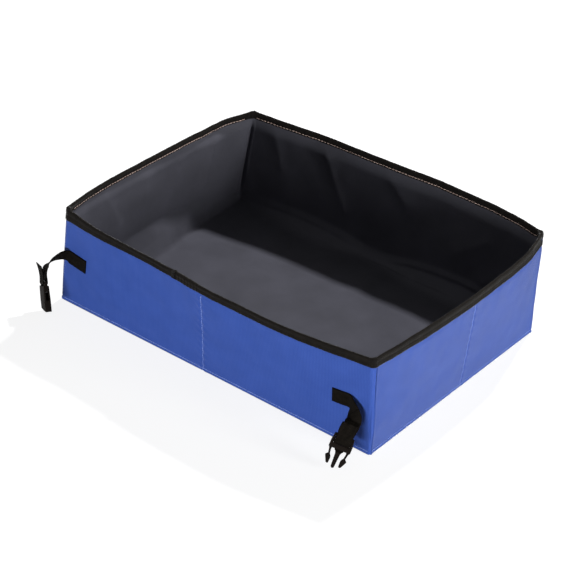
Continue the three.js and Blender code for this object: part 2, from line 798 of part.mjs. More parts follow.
// Prongs: springy arms with arrow heads, one each side of the guide
const prongHeadStartShare = 0.48;
const prongShoulderShare = 0.57;
function prongShape(side) {
  const root = prongRootPlace - prongStemWidth / 2;
  const headStart = prongLength * prongHeadStartShare;
  const shoulder = prongLength * prongShoulderShare;
  const innerTip = prongRootPlace - prongTipShift;
  const stemBack = prongTipShift * prongHeadStartShare;
  const corners = [
    [root, 0],
    [root + prongStemWidth, 0],
    [root + prongStemWidth - stemBack, headStart],
    [root - stemBack + prongHeadWidth - prongStemWidth / 2, shoulder],
    [innerTip + prongStemWidth / 2, prongLength],
    [innerTip - prongStemWidth / 2, prongLength],
    [root - stemBack - prongStemWidth / 2, shoulder],
    [root - stemBack, headStart],
  ];
  const ordered = side > 0 ? corners : corners.map(([x, y]) => [-x, y]).reverse();
  return new THREE.Shape(ordered.map(([x, y]) => new THREE.Vector2(x, y)));
}

function addProng(name, side) {
  const geometry = plateOf(prongShape(side), prongThickness, frameEnd + prongRootGap);
  placeInFrame(add(name, geometry, acetal), plugBar, plugFrame);
}
addProng('buckle_prong_left', -1);
addProng('buckle_prong_right', 1);

export default root;
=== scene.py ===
"""Folding open-top litter tray of coated cloth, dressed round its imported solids. Metres, +Z up."""
import math

import bmesh
import bpy
from mathutils import Matrix, Vector, noise


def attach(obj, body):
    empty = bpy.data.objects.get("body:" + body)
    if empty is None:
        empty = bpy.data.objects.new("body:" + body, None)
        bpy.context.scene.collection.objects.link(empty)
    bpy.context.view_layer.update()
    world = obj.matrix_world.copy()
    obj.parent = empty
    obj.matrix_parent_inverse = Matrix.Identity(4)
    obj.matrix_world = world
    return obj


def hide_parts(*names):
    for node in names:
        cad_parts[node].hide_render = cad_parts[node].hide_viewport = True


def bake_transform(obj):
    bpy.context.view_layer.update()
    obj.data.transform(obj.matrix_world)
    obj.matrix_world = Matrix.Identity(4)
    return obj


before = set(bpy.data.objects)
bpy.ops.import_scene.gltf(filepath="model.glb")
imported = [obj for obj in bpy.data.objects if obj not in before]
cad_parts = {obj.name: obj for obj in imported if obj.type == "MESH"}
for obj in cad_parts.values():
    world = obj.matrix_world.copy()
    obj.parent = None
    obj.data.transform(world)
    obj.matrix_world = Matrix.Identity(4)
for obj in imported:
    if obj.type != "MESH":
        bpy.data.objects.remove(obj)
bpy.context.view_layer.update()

# Overall shell, as the solids have it
BASE_LENGTH = 0.4
BASE_WIDTH = 0.3
WALL_HEIGHT = 0.112
RIM_LENGTH_LOSS = 0.011
RIM_WIDTH_GAIN = 0.008
BOTTOM_CORNER_RADIUS = 0.0025
RIM_CORNER_RADIUS = 0.005
LEAST_CORNER_RADIUS = 0.0015
INNER_CORNER_RADIUS = 0.006
CORNER_SHARE = 0.05
BACK_LEFT_LEAN = (0.002, 0.0035)
BACK_RIGHT_LEAN = (-0.005, 0.0075)

# Layers
COVER_THICKNESS = 0.0008
BOARD_THICKNESS = 0.002
LINER_THICKNESS = 0.0008
LAYER_GAP = 0.0003
BINDING_THICKNESS = 0.0008
BINDING_HEIGHT = 0.012
BINDING_LAP_START = -0.042
BINDING_LAP_LENGTH = 0.033
RIM_TOP = WALL_HEIGHT + LAYER_GAP + BINDING_THICKNESS
BINDING_BOTTOM = RIM_TOP - BINDING_HEIGHT
LINER_OUTER = COVER_THICKNESS + 2 * LAYER_GAP + BOARD_THICKNESS
LINER_INNER = LINER_OUTER + LINER_THICKNESS
LINER_RIM_INNER = COVER_THICKNESS + LAYER_GAP + LINER_THICKNESS
LINER_FLOOR_TOP = LINER_INNER

SIDES = ("front", "right", "back", "left")
# Each wall's directions, how far it bows out at most, and at even steps along it the share of that bow
# and how far the rim sags; a corner of the rim that is drawn up has a value below zero
WALLS = {
    "front": {
        "along": (1, 0), "out": (0, -1), "long": True, "bow": 0.0145,
        "bow_shares": (0, 0.36, 0.41, 0.61, 0.95, 1, 0.96, 0.53, 0),
        "rim_sags": (-0.0018, 0.0016, 0.0038, 0.0034, 0.003, 0.0027, 0.0026, 0.0026, 0.0022),
    },
    "right": {
        "along": (0, 1), "out": (1, 0), "long": False, "bow": 0.0115,
        "bow_shares": (0, 0.35, 0.66, 0.87, 1, 0.98, 0.94, 0.7, 0),
        "rim_sags": (0.0022, 0.0014, 0.0008, 0.0005, 0.0002, 0, -0.0002, -0.0008, -0.0023),
    },
    "back": {
        "along": (-1, 0), "out": (0, 1), "long": True, "bow": 0.016,
        "bow_shares": (0, 0.69, 0.93, 1, 0.82, 0.73, 0.64, 0.29, 0),
        "rim_sags": (-0.0023, -0.0004, 0, 0, -0.0003, 0, -0.0002, -0.0003, -0.0014),
    },
    "left": {
        "along": (0, -1), "out": (-1, 0), "long": False, "bow": 0.0113,
        "bow_shares": (0, 0.86, 0.97, 1, 0.98, 0.94, 0.84, 0.56, 0),
        "rim_sags": (-0.0014, -0.0003, -0.0003, -0.0003, -0.0002, -0.0002, -0.0003, -0.0007, -0.0018),
    },
}


def run_along(values, share):
    """A smooth curve through evenly spaced values, read at a share from 0 to 1."""
    last = len(values) - 1
    place = min(max(share, 0), 1) * last
    first = min(int(place), last - 1)
    t = place - first
    before, start, end, after = (values[min(max(first + step, 0), last)] for step in (-1, 0, 1, 2))
    leave = (end - before) / 2
    arrive = (after - start) / 2
    return ((2 * start - 2 * end + leave + arrive) * t ** 3
            + (-3 * start + 3 * end - 2 * leave - arrive) * t ** 2 + leave * t + start)


def bow_at(side, along_share, z):
    """How far a wall stands out past the straight line between its corners, growing with height."""
    wall = WALLS[side]
    return wall["bow"] * run_along(wall["bow_shares"], (along_share + 1) / 2) * max(z, 0) / WALL_HEIGHT


def half_sizes(side, z, inset):
    """Half a wall's length, its distance from the middle and its corner radius, at one height."""
    rise = z / WALL_HEIGHT
    half_length = (BASE_LENGTH - RIM_LENGTH_LOSS * rise) / 2 - inset
    half_width = (BASE_WIDTH + RIM_WIDTH_GAIN * rise) / 2 - inset
    full = BOTTOM_CORNER_RADIUS + (RIM_CORNER_RADIUS - BOTTOM_CORNER_RADIUS) * rise
    inward = ease(inset, 0, LINER_RIM_INNER)
    least = LEAST_CORNER_RADIUS + (INNER_CORNER_RADIUS - LEAST_CORNER_RADIUS) * inward
    radius = max(full - inset, least)
    if WALLS[side]["long"]:
        return half_length, half_width, radius
    return half_width, half_length, radius


def rim_lean(x, y, z):
    """The lean at one place: none at the front or the floor, and growing towards the back and the rim."""
    right_share = 0.5 + x / BASE_LENGTH
    back_share = (0.5 + y / BASE_WIDTH) * max(z, 0) / WALL_HEIGHT
    return Vector((*((1 - right_share) * left + right_share * right
                     for left, right in zip(BACK_LEFT_LEAN, BACK_RIGHT_LEAN)), 0)) * back_share


def shell_point(side, share, z, inset):
    """A point of the shell: share runs 0 to 1 along one wall from mid corner to mid corner."""
    wall = WALLS[side]
    half_along, half_out, radius = half_sizes(side, z, inset)
    straight = half_along - radius
    turn = 0
    if share < CORNER_SHARE:
        turn = math.pi / 4 * (1 - share / CORNER_SHARE)
        along = -straight - radius * math.sin(turn)
    elif share > 1 - CORNER_SHARE:
        turn = math.pi / 4 * (share - 1 + CORNER_SHARE) / CORNER_SHARE
        along = straight + radius * math.sin(turn)
    else:
        along = straight * (2 * (share - CORNER_SHARE) / (1 - 2 * CORNER_SHARE) - 1)
    out = half_out - radius * (1 - math.cos(turn))
    index = SIDES.index(side)
    own_bow = bow_at(side, along / (half_along + inset), z) * math.cos(turn)
    if share < 0.5:
        side_bow = -bow_at(SIDES[index - 1], out / (half_out + inset), z) * math.sin(turn)
    else:
        side_bow = bow_at(SIDES[(index + 1) % 4], -out / (half_out + inset), z) * math.sin(turn)
    along += side_bow
    out += own_bow
    x = wall["along"][0] * along + wall["out"][0] * out
    y = wall["along"][1] * along + wall["out"][1] * out
    sag = run_along(wall["rim_sags"], share) * max(z - BINDING_BOTTOM, 0) / (RIM_TOP - BINDING_BOTTOM)
    return Vector((x, y, z - sag)) + rim_lean(x, y, z)


def side_of(station):
    """The wall and share of a station that runs 0 to 4 round the tray from the front left corner."""
    station %= 4
    index = min(int(station), 3)
    return SIDES[index], station - index


def place_of(side, share, z=0.0):
    """Metres along a wall from its middle, for a share of it."""
    half_along, _, radius = half_sizes(side, z, 0)
    return (share - 0.5) / (0.5 - CORNER_SHARE) * (half_along - radius)


def share_of(side, place, z):
    half_along, _, radius = half_sizes(side, z, 0)
    return 0.5 + place / (half_along - radius) * (0.5 - CORNER_SHARE)


def station_of(side, place, z):
    return SIDES.index(side) + share_of(side, place, z)


def uneven(x, y, wave, wall=0):
    """Smooth unevenness, out or in; a wave is its height, the size of a swell and its layer of noise."""
    height, size, layer = wave
    return height * noise.noise(Vector((x / size, y / size, layer + wall)))


def path_length(points):
    return sum((b - a).length for a, b in zip(points, points[1:]))


def hump(offset, width):
    """A bell that is 1 at no offset and falls off over a width."""
    return math.exp(-(offset / width) ** 2)


def ease(value, low, high):
    """0 up to low and 1 from high on, with a smooth rise between them."""
    share = min(max((value - low) / (high - low), 0), 1)
    return share * share * (3 - 2 * share)


# Helpers that make and hand over pieces

PARALLEL = 0.001


def new_piece(name, bm, material, body):
    mesh = bpy.data.meshes.new(name)
    for face in bm.faces:
        face.smooth = True
    bm.to_mesh(mesh)
    bm.free()
    mesh.materials.append(material)
    piece = bpy.data.objects.new(name, mesh)
    bpy.context.scene.collection.objects.link(piece)
    if body:
        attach(piece, body)
    return piece


def laid_grid(columns, rows, place, uv_size):
    """A grid whose points are put by place(across, up), both 0 to 1, with a UV map in metres."""
    bm = bmesh.new()
    bmesh.ops.create_grid(bm, x_segments=columns, y_segments=rows, size=1)
    uv = bm.loops.layers.uv.new("cloth")
    for face in bm.faces:
        for loop in face.loops:
            loop[uv].uv = ((loop.vert.co.x + 1) / 2 * uv_size[0], (loop.vert.co.y + 1) / 2 * uv_size[1])
    for vert in bm.verts:
        vert.co = place((vert.co.x + 1) / 2, (vert.co.y + 1) / 2)
    return bm


def cut_along(bm, axis, cuts):
    """Cuts each edge that runs along one axis into cuts + 1 equal parts."""
    edges = [edge for edge in bm.edges
             if abs(abs((edge.verts[1].co - edge.verts[0].co).normalized()[axis]) - 1) < PARALLEL]
    bmesh.ops.subdivide_edges(bm, edges=edges, cuts=cuts, use_grid_fill=True)


def thicken(piece, thickness, offset=-1):
    """Gives a sheet its thickness, behind the face that shows or, with no offset, half to each side."""
    solidify = piece.modifiers.new("thickness", "SOLIDIFY")
    solidify.thickness = thickness
    solidify.offset = offset
    solidify.use_even_offset = True
    return piece


# Stitches: each is a short thread that rises out of the cloth and dives back in

STITCH_CUTS = 3
STITCH_DIVE = 0.5
STITCH_SLIMMING = 0.3
STITCH_STAND = 0.25
STITCH_PROBE = 0.001


def one_stitch():
    """A thread one unit long, wide and high along its own axes, with its ends turned down."""
    bm = bmesh.new()
    bmesh.ops.create_cube(bm, size=1)
    lengthwise = [edge for edge in bm.edges if abs(edge.verts[0].co.x - edge.verts[1].co.x) > 0.5]
    bmesh.ops.subdivide_edges(bm, edges=lengthwise, cuts=STITCH_CUTS, use_grid_fill=True)
    for vert in bm.verts:
        reach = abs(2 * vert.co.x)
        slim = 1 - STITCH_SLIMMING * reach ** 2
        vert.co.y *= slim
        vert.co.z = vert.co.z * slim - STITCH_DIVE * reach ** 3
    mesh = bpy.data.meshes.new("one_stitch")
    bm.to_mesh(mesh)
    bm.free()
    return mesh


def sew(name, material, body, rows, thread_width):
    """Stitches along rows; each row is (place(distance, lift), start, end, pitch, share sewn)."""
    single = one_stitch()
    bm = bmesh.new()
    for place, start, end, pitch, share in rows:
        count = max(int(round(abs(end - start) / pitch)), 1)
        step = (end - start) / count
        for index in range(count):
            first = start + step * (index + (1 - share) / 2)
            last = first + step * share
            middle = (first + last) / 2
            a, b = place(first, 0), place(last, 0)
            up = (place(middle, STITCH_PROBE) - place(middle, 0)).normalized()
            along = b - a
            across = up.cross(along.normalized())
            centre = place(middle, STITCH_STAND * thread_width)
            matrix = Matrix((along, across * thread_width, up * thread_width)).transposed().to_4x4()
            matrix.translation = centre
            placed = single.copy()
            placed.transform(matrix)
            bm.from_mesh(placed)
            bpy.data.meshes.remove(placed)
    bpy.data.meshes.remove(single)
    bmesh.ops.recalc_face_normals(bm, faces=bm.faces)
    return new_piece(name, bm, material, body)


# Materials


def colour(hex_value):
    """An sRGB hex value as the linear colour that a shader takes."""
    parts = [int(hex_value[i:i + 2], 16) / 255 for i in (1, 3, 5)]
    linear = [p / 12.92 if p <= 0.04045 else ((p + 0.055) / 1.055) ** 2.4 for p in parts]
    return (*linear, 1)


def add_node(tree, kind, values=None, links=None, **settings):
    """Adds a node with its settings, the constants on its sockets and what feeds them."""
    made = tree.nodes.new(kind)
    for name, value in settings.items():
        setattr(made, name, value)
    for socket, value in (values or {}).items():
        made.inputs[socket].default_value = value
    for socket, source in (links or {}).items():
        tree.links.new(source, made.inputs[socket])
    return made


def start_material(name):
    material = bpy.data.materials.new(name)
    material.use_nodes = True
    tree = material.node_tree
    tree.nodes.clear()
    return material, tree


def close_material(tree, shader):
    add_node(tree, "ShaderNodeOutputMaterial", links={"Surface": shader.outputs[0]})


def finish_material(material, tone, relief, bump, finish, fed=None):
    """Puts the colour, the relief (strength and depth in bump) and the finish's constants together."""
    tree = material.node_tree
    strength, depth = bump
    grain = add_node(tree, "ShaderNodeBump", {"Strength": strength, "Distance": depth}, {"Height": relief})
    shader = add_node(tree, "ShaderNodeBsdfPrincipled", finish,
                      {"Base Color": tone, "Normal": grain.outputs["Normal"], **(fed or {})})
    close_material(tree, shader)
    return material


def blotched(tree, coordinates, size, dark, light):
    """A colour that drifts between two tones, one drift every size metres."""
    cloud = add_node(tree, "ShaderNodeTexNoise", {"Scale": 1 / size, "Detail": 3.0, "Roughness": 0.55},
                     {"Vector": coordinates})
    ramp = add_node(tree, "ShaderNodeValToRGB", links={"Fac": cloud.outputs["Fac"]})
    ramp.color_ramp.elements[0].position = 0.3
    ramp.color_ramp.elements[0].color = colour(dark)
    ramp.color_ramp.elements[1].position = 0.7
    ramp.color_ramp.elements[1].color = colour(light)
    return ramp.outputs["Color"]


OXFORD_PITCH = 0.0014
TAPE_RIB_PITCH = 0.0011
WEBBING_RIB_PITCH = 0.0016
THREAD_PLY_PITCH = 0.0006
BOARD_LINE_PITCH = 0.002
OXFORD_MOTTLE = 0.02
FILM_MOTTLE = 0.05
FILM_PEBBLE = 0.0012
FILM_WEAR = 0.06
TAPE_MOTTLE = 0.006
WEBBING_MOTTLE = 0.004
ACETAL_MOTTLE = 0.008
ACETAL_GRAIN = 0.0004
THREAD_MOTTLE = 0.003
BOARD_MOTTLE = 0.02


def band_scale(pitch):
    """A wave texture's bands come twenty to the unit of its scale over 2 pi."""
    return math.pi / (10 * pitch)


def woven(tree, coordinates, pitch_across, pitch_along, skew=0.0):
    """Threads that cross over and under: the product of two sets of bands."""
    sets = [add_node(tree, "ShaderNodeTexWave",
                     {"Scale": band_scale(pitch), "Distortion": skew, "Detail": 0.0},
                     {"Vector": coordinates}, wave_type="BANDS", bands_direction=direction)
            for pitch, direction in ((pitch_across, "X"), (pitch_along, "Y"))]
    return add_node(tree, "ShaderNodeMath", links={0: sets[0].outputs["Fac"], 1: sets[1].outputs["Fac"]},
                    operation="MULTIPLY").outputs[0]


def coated_oxford_cloth(name, dark, light):
    """Blue polyester cloth of plain weave: matt, slightly mottled, with a soft sheen at a low angle."""
    # The real threads lie about 0.5 mm apart; they are drawn coarser here, or no render would show them
    material, tree = start_material(name)
    cloth = add_node(tree, "ShaderNodeUVMap", uv_map="cloth").outputs["UV"]
    weave = woven(tree, cloth, OXFORD_PITCH, OXFORD_PITCH, 0.4)
    tone = blotched(tree, cloth, OXFORD_MOTTLE, dark, light)
    grain = add_node(tree, "ShaderNodeMix", {"Factor": 0.22}, {"A": tone, "B": weave},
                     data_type="RGBA", blend_type="SOFT_LIGHT")
    return finish_material(material, grain.outputs["Result"], weave, (0.4, 0.0003),
                           {"Roughness": 0.72, "IOR": 1.5, "Specular IOR Level": 0.25,
                            "Sheen Weight": 0.62, "Sheen Roughness": 0.36})


def liner_film():
    """Dark grey PVC film on cloth: satin, with a fine pebble that breaks up the highlight."""
    material, tree = start_material("satin_pvc_film")
    place = add_node(tree, "ShaderNodeTexCoord").outputs["Object"]
    tone = blotched(tree, place, FILM_MOTTLE, "#43434a", "#4c4c54")
    pebble = add_node(tree, "ShaderNodeTexNoise", {"Scale": 1 / FILM_PEBBLE, "Detail": 2.0, "Roughness": 0.5},
                      {"Vector": place})
    worn = add_node(tree, "ShaderNodeTexNoise", {"Scale": 1 / FILM_WEAR, "Detail": 3.0, "Roughness": 0.6},
                    {"Vector": place})
    gloss = add_node(tree, "ShaderNodeMapRange",
                     {"From Min": 0.3, "From Max": 0.7, "To Min": 0.44, "To Max": 0.56},
                     {"Value": worn.outputs["Fac"]})
    return finish_material(material, tone, pebble.outputs["Fac"], (0.2, 0.00015),
                           {"IOR": 1.5, "Specular IOR Level": 0.09}, {"Roughness": gloss.outputs["Result"]})


def ribbed_tape():
    """Black grosgrain tape: fine ribs run across its width, and its tone drifts at random from black to a
    dark brown.
    """
    # The real ribs lie about 0.5 mm apart; they are drawn at twice that, or no render would show them
    material, tree = start_material("black_grosgrain_tape")
    tape = add_node(tree, "ShaderNodeUVMap", uv_map="cloth").outputs["UV"]
    ribs = add_node(tree, "ShaderNodeTexWave",
                    {"Scale": band_scale(TAPE_RIB_PITCH), "Distortion": 0.3, "Detail": 0.0},
                    {"Vector": tape}, wave_type="BANDS", bands_direction="X")
    tone = blotched(tree, tape, TAPE_MOTTLE, "#0d0b0a", "#181512")
    return finish_material(material, tone, ribs.outputs["Fac"], (0.5, 0.0002),
                           {"Roughness": 0.75, "IOR": 1.5, "Specular IOR Level": 0.06,
                            "Sheen Weight": 0.25, "Sheen Roughness": 0.3})


def woven_webbing():
    """Black polypropylene webbing: thick ribs across, thin warp threads along, a dull shine."""
    material, tree = start_material("black_polypropylene_webbing")
    band = add_node(tree, "ShaderNodeUVMap", uv_map="cloth").outputs["UV"]
    weave = woven(tree, band, WEBBING_RIB_PITCH / 2, WEBBING_RIB_PITCH, 0.6)
    tone = blotched(tree, band, WEBBING_MOTTLE, "#0b0907", "#15120f")
    return finish_material(material, tone, weave, (0.7, 0.0003),
                           {"Roughness": 0.8, "IOR": 1.5, "Specular IOR Level": 0.03})


def moulded_acetal():
    """Black injection-moulded acetal: low gloss, with the faint grain of the mould."""
    material, tree = start_material("black_moulded_acetal")
    place = add_node(tree, "ShaderNodeTexCoord").outputs["Object"]
    tone = blotched(tree, place, ACETAL_MOTTLE, "#0c0907", "#130e0b")
    grain = add_node(tree, "ShaderNodeTexNoise", {"Scale": 1 / ACETAL_GRAIN, "Detail": 1.0},
                     {"Vector": place})
    return finish_material(material, tone, grain.outputs["Fac"], (0.12, 0.0001),
                           {"Roughness": 0.65, "IOR": 1.48, "Specular IOR Level": 0.05})


def sewing_thread(name, dark, light):
    """Twisted polyester thread: the ply shows as fine slanted bands."""
    material, tree = start_material(name)
    place = add_node(tree, "ShaderNodeTexCoord").outputs["Object"]
    ply = add_node(tree, "ShaderNodeTexWave", {"Scale": band_scale(THREAD_PLY_PITCH), "Distortion": 0.5},
                   {"Vector": place}, wave_type="BANDS", bands_direction="DIAGONAL")
    tone = blotched(tree, place, THREAD_MOTTLE, dark, light)
    return finish_material(material, tone, ply.outputs["Fac"], (0.4, 0.0001),
                           {"Roughness": 0.6, "IOR": 1.5, "Specular IOR Level": 0.15})


def stiff_board():
    """Grey extruded polyethylene sheet inside the walls: dull, with faint drawing lines."""
    material, tree = start_material("grey_polyethylene_board")
    place = add_node(tree, "ShaderNodeTexCoord").outputs["Object"]
    tone = blotched(tree, place, BOARD_MOTTLE, "#7f7c76", "#949089")
    lines = add_node(tree, "ShaderNodeTexWave", {"Scale": band_scale(BOARD_LINE_PITCH), "Distortion": 1.0},
                     {"Vector": place}, wave_type="BANDS", bands_direction="X")
    return finish_material(material, tone, lines.outputs["Fac"], (0.2, 0.0001),
                           {"Roughness": 0.6, "IOR": 1.5})


OXFORD = coated_oxford_cloth("blue_coated_oxford_cloth", "#2b4b9b", "#3151a3")
FILM = liner_film()
TAPE = ribbed_tape()
WEBBING = woven_webbing()
ACETAL = moulded_acetal()
BEIGE_THREAD = sewing_thread("beige_polyester_thread", "#b79c92", "#d8c0b6")
BLUE_THREAD = sewing_thread("light_blue_polyester_thread", "#6a80c8", "#8699d6")
BLACK_THREAD = sewing_thread("black_polyester_thread", "#080706", "#12100f")
BOARD = stiff_board()


# Camera and light come before the pieces

CAMERA_AZIMUTH = math.radians(34.18)
CAMERA_ELEVATION = math.radians(32.15)
CAMERA_ROLL = math.radians(5.53)
CAMERA_DISTANCE = 2.13832
CAMERA_TARGET = Vector((0.00911, -0.0319, 0.05))
CAMERA_LENS_MM = 128.44
CAMERA_SENSOR_MM = 36
CAMERA_NEAR = 0.05

LIGHT_AIM = Vector((0, 0, 0.05))
KEY_DIRECTION = (-0.14, 0.7, 0.75)
KEY_DISTANCE = 2.4
KEY_SIZE = 0.14
KEY_WATTS = 80
RIGHT_DIRECTION = (1, 0.06, 0.2)
RIGHT_WIDTH = 0.7
RIGHT_HEIGHT = 0.4
RIGHT_WATTS = 35
FRONT_DIRECTION = (0.2, -0.97, 0.035)
FRONT_WIDTH = 0.8
FRONT_HEIGHT = 0.16
FRONT_WATTS = 33
SOFT_DISTANCE = 2.0
ROOM_STRENGTH = 0.07
FLOOR_BOUNCE = "#9a9a9a"
FLOOR_SHADE = "#898989"
FLOOR_GLOW = 0.86
FLOOR_REACH = 3


def make_camera():
    azimuth, elevation, roll = CAMERA_AZIMUTH, CAMERA_ELEVATION, CAMERA_ROLL
    back = Vector((
        math.sin(azimuth) * math.cos(elevation),
        -math.cos(azimuth) * math.cos(elevation),
        math.sin(elevation),
    ))
    level = Vector((math.cos(azimuth), math.sin(azimuth), 0))
    upright = back.cross(level)
    right = level * math.cos(roll) + upright * math.sin(roll)
    up = upright * math.cos(roll) - level * math.sin(roll)
    lens = bpy.data.cameras.new("camera")
    lens.lens = CAMERA_LENS_MM
    lens.sensor_width = CAMERA_SENSOR_MM
    lens.clip_start = CAMERA_NEAR
    camera = bpy.data.objects.new("camera", lens)
    turn = Matrix((right, up, back)).transposed().to_4x4()
    camera.matrix_world = Matrix.Translation(CAMERA_TARGET + back * CAMERA_DISTANCE) @ turn
    bpy.context.scene.collection.objects.link(camera)
    bpy.context.scene.camera = camera


def softbox(name, direction, distance, width, height, watts, shows_in_gloss=True):
    place = LIGHT_AIM + Vector(direction).normalized() * distance
    light = bpy.data.lights.new(name, "AREA")
    light.shape = "RECTANGLE"
    light.size = width
    light.size_y = height
    light.energy = watts
    lamp = bpy.data.objects.new(name, light)
    lamp.location = place
    lamp.visible_glossy = shows_in_gloss
    lamp.rotation_euler = (LIGHT_AIM - place).to_track_quat("-Z", "Y").to_euler()
    bpy.context.scene.collection.objects.link(lamp)


def make_lights():
    """One small strong lamp behind, which draws the back wall's shadow on the floor, and two soft ones."""
    softbox("back_key", KEY_DIRECTION, KEY_DISTANCE, KEY_SIZE, KEY_SIZE, KEY_WATTS, shows_in_gloss=False)
    softbox("right_softbox", RIGHT_DIRECTION, SOFT_DISTANCE, RIGHT_WIDTH, RIGHT_HEIGHT, RIGHT_WATTS)
    softbox("front_softbox", FRONT_DIRECTION, SOFT_DISTANCE, FRONT_WIDTH, FRONT_HEIGHT, FRONT_WATTS)


def make_world():
    """Weak white room light; the camera and the glossy reflections see plain white."""
    world = bpy.data.worlds.new("studio")
    world.use_nodes = True
    tree = world.node_tree
    tree.nodes.clear()
    room = add_node(tree, "ShaderNodeBackground", {"Color": colour("#ffffff"), "Strength": ROOM_STRENGTH})
    white = add_node(tree, "ShaderNodeBackground", {"Color": colour("#ffffff"), "Strength": 1.0})
    mixed = add_node(tree, "ShaderNodeMixShader", links={0: backdrop_rays(tree), 1: room.outputs[0],
                                                         2: white.outputs[0]})
    add_node(tree, "ShaderNodeOutputWorld", links={"Surface": mixed.outputs[0]})
    bpy.context.scene.world = world


def backdrop_rays(tree):
    """One for the rays that look at the backdrop: the camera's, reflected and passed-through ones."""
    rays = add_node(tree, "ShaderNodeLightPath")
    seen = rays.outputs["Is Camera Ray"]
    for kind in ("Is Glossy Ray", "Is Transmission Ray"):
        seen = add_node(tree, "ShaderNodeMath", links={0: seen, 1: rays.outputs[kind]},
                        operation="MAXIMUM").outputs[0]
    return seen


def make_floor():
    """A pale studio floor that reads as white and still takes the tray's faint shadow."""
    material, tree = start_material("white_studio_floor")
    paper = add_node(tree, "ShaderNodeBsdfDiffuse", {"Color": colour(FLOOR_BOUNCE)})
    faint = add_node(tree, "ShaderNodeBsdfDiffuse", {"Color": colour(FLOOR_SHADE)})
    glow = add_node(tree, "ShaderNodeEmission", {"Color": colour("#ffffff"), "Strength": FLOOR_GLOW})
    lift = add_node(tree, "ShaderNodeAddShader", links={0: faint.outputs[0], 1: glow.outputs[0]})
    shown = add_node(tree, "ShaderNodeMixShader", links={0: backdrop_rays(tree), 1: paper.outputs[0],
                                                         2: lift.outputs[0]})
    close_material(tree, shown)
    bm = bmesh.new()
    bmesh.ops.create_grid(bm, x_segments=1, y_segments=1, size=FLOOR_REACH)
    floor = new_piece("studio_floor", bm, material, None)


bpy.context.scene.view_settings.view_transform = "Standard"
make_camera()
make_lights()
make_world()
make_floor()


# Cover: the four walls are sewn from panels whose seams sit just round the corners on the short walls

HEM_HEIGHT = 0.0032
HEM_SWELL = 0.0006
HEM_GROOVE = 0.0004
HEM_GROOVE_WIDTH = 0.0006
COVER_SWELL = (0.0012, 0.06, 0)
COVER_RIPPLE = (0.00025, 0.016, 10)
COVER_GATHERS = (0.0006, 0.011, 20)
COVER_FULLNESS = 0.0003
COVER_SWELL_FOOT = 0.004
COVER_SWELL_FULL = 0.03
GATHER_REACH = 0.012
TAPE_PRESS = 0.85
TAPE_PRESS_REACH = 0.005
SEAM_GROOVE_DEPTH = 0.0007
SEAM_GROOVE_WIDTH = 0.0011
SEAM_PUCKER_HEIGHT = 0.00025
SEAM_PUCKER_WIDTH = 0.006
SEAM_PUCKER_PITCH = 0.009
SEAM_PUCKER_BIAS = 0.6
MIDDLE_SEAMS = {"front": -0.0045, "right": 0.009, "back": 0.0, "left": -0.006}
SEAM_DRIFTS = {"front": 0.0034, "right": 0, "back": 0.001, "left": -0.001}
SEAM_DRIFT_CENTRE = 0.7
SEAM_WANDER = 0.0002
SEAM_WANDER_TURN = 5
SEAM_WRAP = CORNER_SHARE - 0.006
SEAM_STATIONS = (-SEAM_WRAP, 1 + SEAM_WRAP, 2 - SEAM_WRAP, 3 + SEAM_WRAP, 4 - SEAM_WRAP)
WELT_SWELL = 0.0006
WELT_WIDTH = 0.005
PANEL_TUCK = 0.0017
PANEL_TUCK_WIDTH = 0.003
CALM_REACH = 0.02
CALM_PLACES = ((-0.174, 0.057), (0.162, 0.052))
COVER_ROWS = 64
LONG_COLUMNS = 320
SHORT_COLUMNS = 230
LENGTH_STEPS = 80


def seam_place(side, z):
    """Metres from a wall's middle to its stitched middle line, which wanders a little as it rises."""
    rise = z / WALL_HEIGHT
    drift = SEAM_DRIFTS[side] * (rise - SEAM_DRIFT_CENTRE)
    return MIDDLE_SEAMS[side] + drift + SEAM_WANDER * math.sin(rise * SEAM_WANDER_TURN)


def calm(side, place, z):
    """None where a strap is sewn flat to the front wall, one away from it."""
    if side != "front":
        return 1.0
    share = 1.0
    for x, height in CALM_PLACES:
        share *= 1 - hump(place - x, CALM_REACH) * hump(z - height, CALM_REACH)
    return share


def cover_push(side, share, z):
    """How far the cloth stands out from its smooth shape at one place."""
    place = place_of(side, share, z)
    wall = SIDES.index(side)
    reach = ease(z, COVER_SWELL_FOOT, COVER_SWELL_FULL) * calm(side, place, z)
    slack = uneven(place, z, COVER_SWELL, wall) + uneven(place, z, COVER_RIPPLE, wall)
    push = max((COVER_FULLNESS + slack) * reach, -LAYER_GAP)
    under_tape = math.exp(-max(BINDING_BOTTOM - z, 0) / GATHER_REACH)
    push += uneven(place, 0, COVER_GATHERS, wall) * under_tape
    seam = place - seam_place(side, z)
    push -= SEAM_GROOVE_DEPTH * hump(seam, SEAM_GROOVE_WIDTH)
    wave = math.sin(2 * math.pi * z / SEAM_PUCKER_PITCH + 2 * seam / SEAM_PUCKER_WIDTH)
    push += SEAM_PUCKER_HEIGHT * hump(seam, SEAM_PUCKER_WIDTH) * (SEAM_PUCKER_BIAS + wave)
    if z < HEM_HEIGHT:
        push += HEM_SWELL * math.sin(math.pi * z / HEM_HEIGHT)
    push -= HEM_GROOVE * hump(z - HEM_HEIGHT - HEM_GROOVE_WIDTH, HEM_GROOVE_WIDTH)
    return push * (1 - TAPE_PRESS * ease(z, BINDING_BOTTOM - TAPE_PRESS_REACH, BINDING_BOTTOM))


def cover_point(station, z, lift=0.0):
    side, share = side_of(station)
    return shell_point(side, share, z, -cover_push(side, share, z) - lift)


def corner_welt(station):
    """The seam allowance rounds the cloth up between a corner and the seam beside it."""
    near = min(abs(station - seam) for seam in SEAM_STATIONS)
    return WELT_SWELL * hump(near - WELT_WIDTH, WELT_WIDTH)


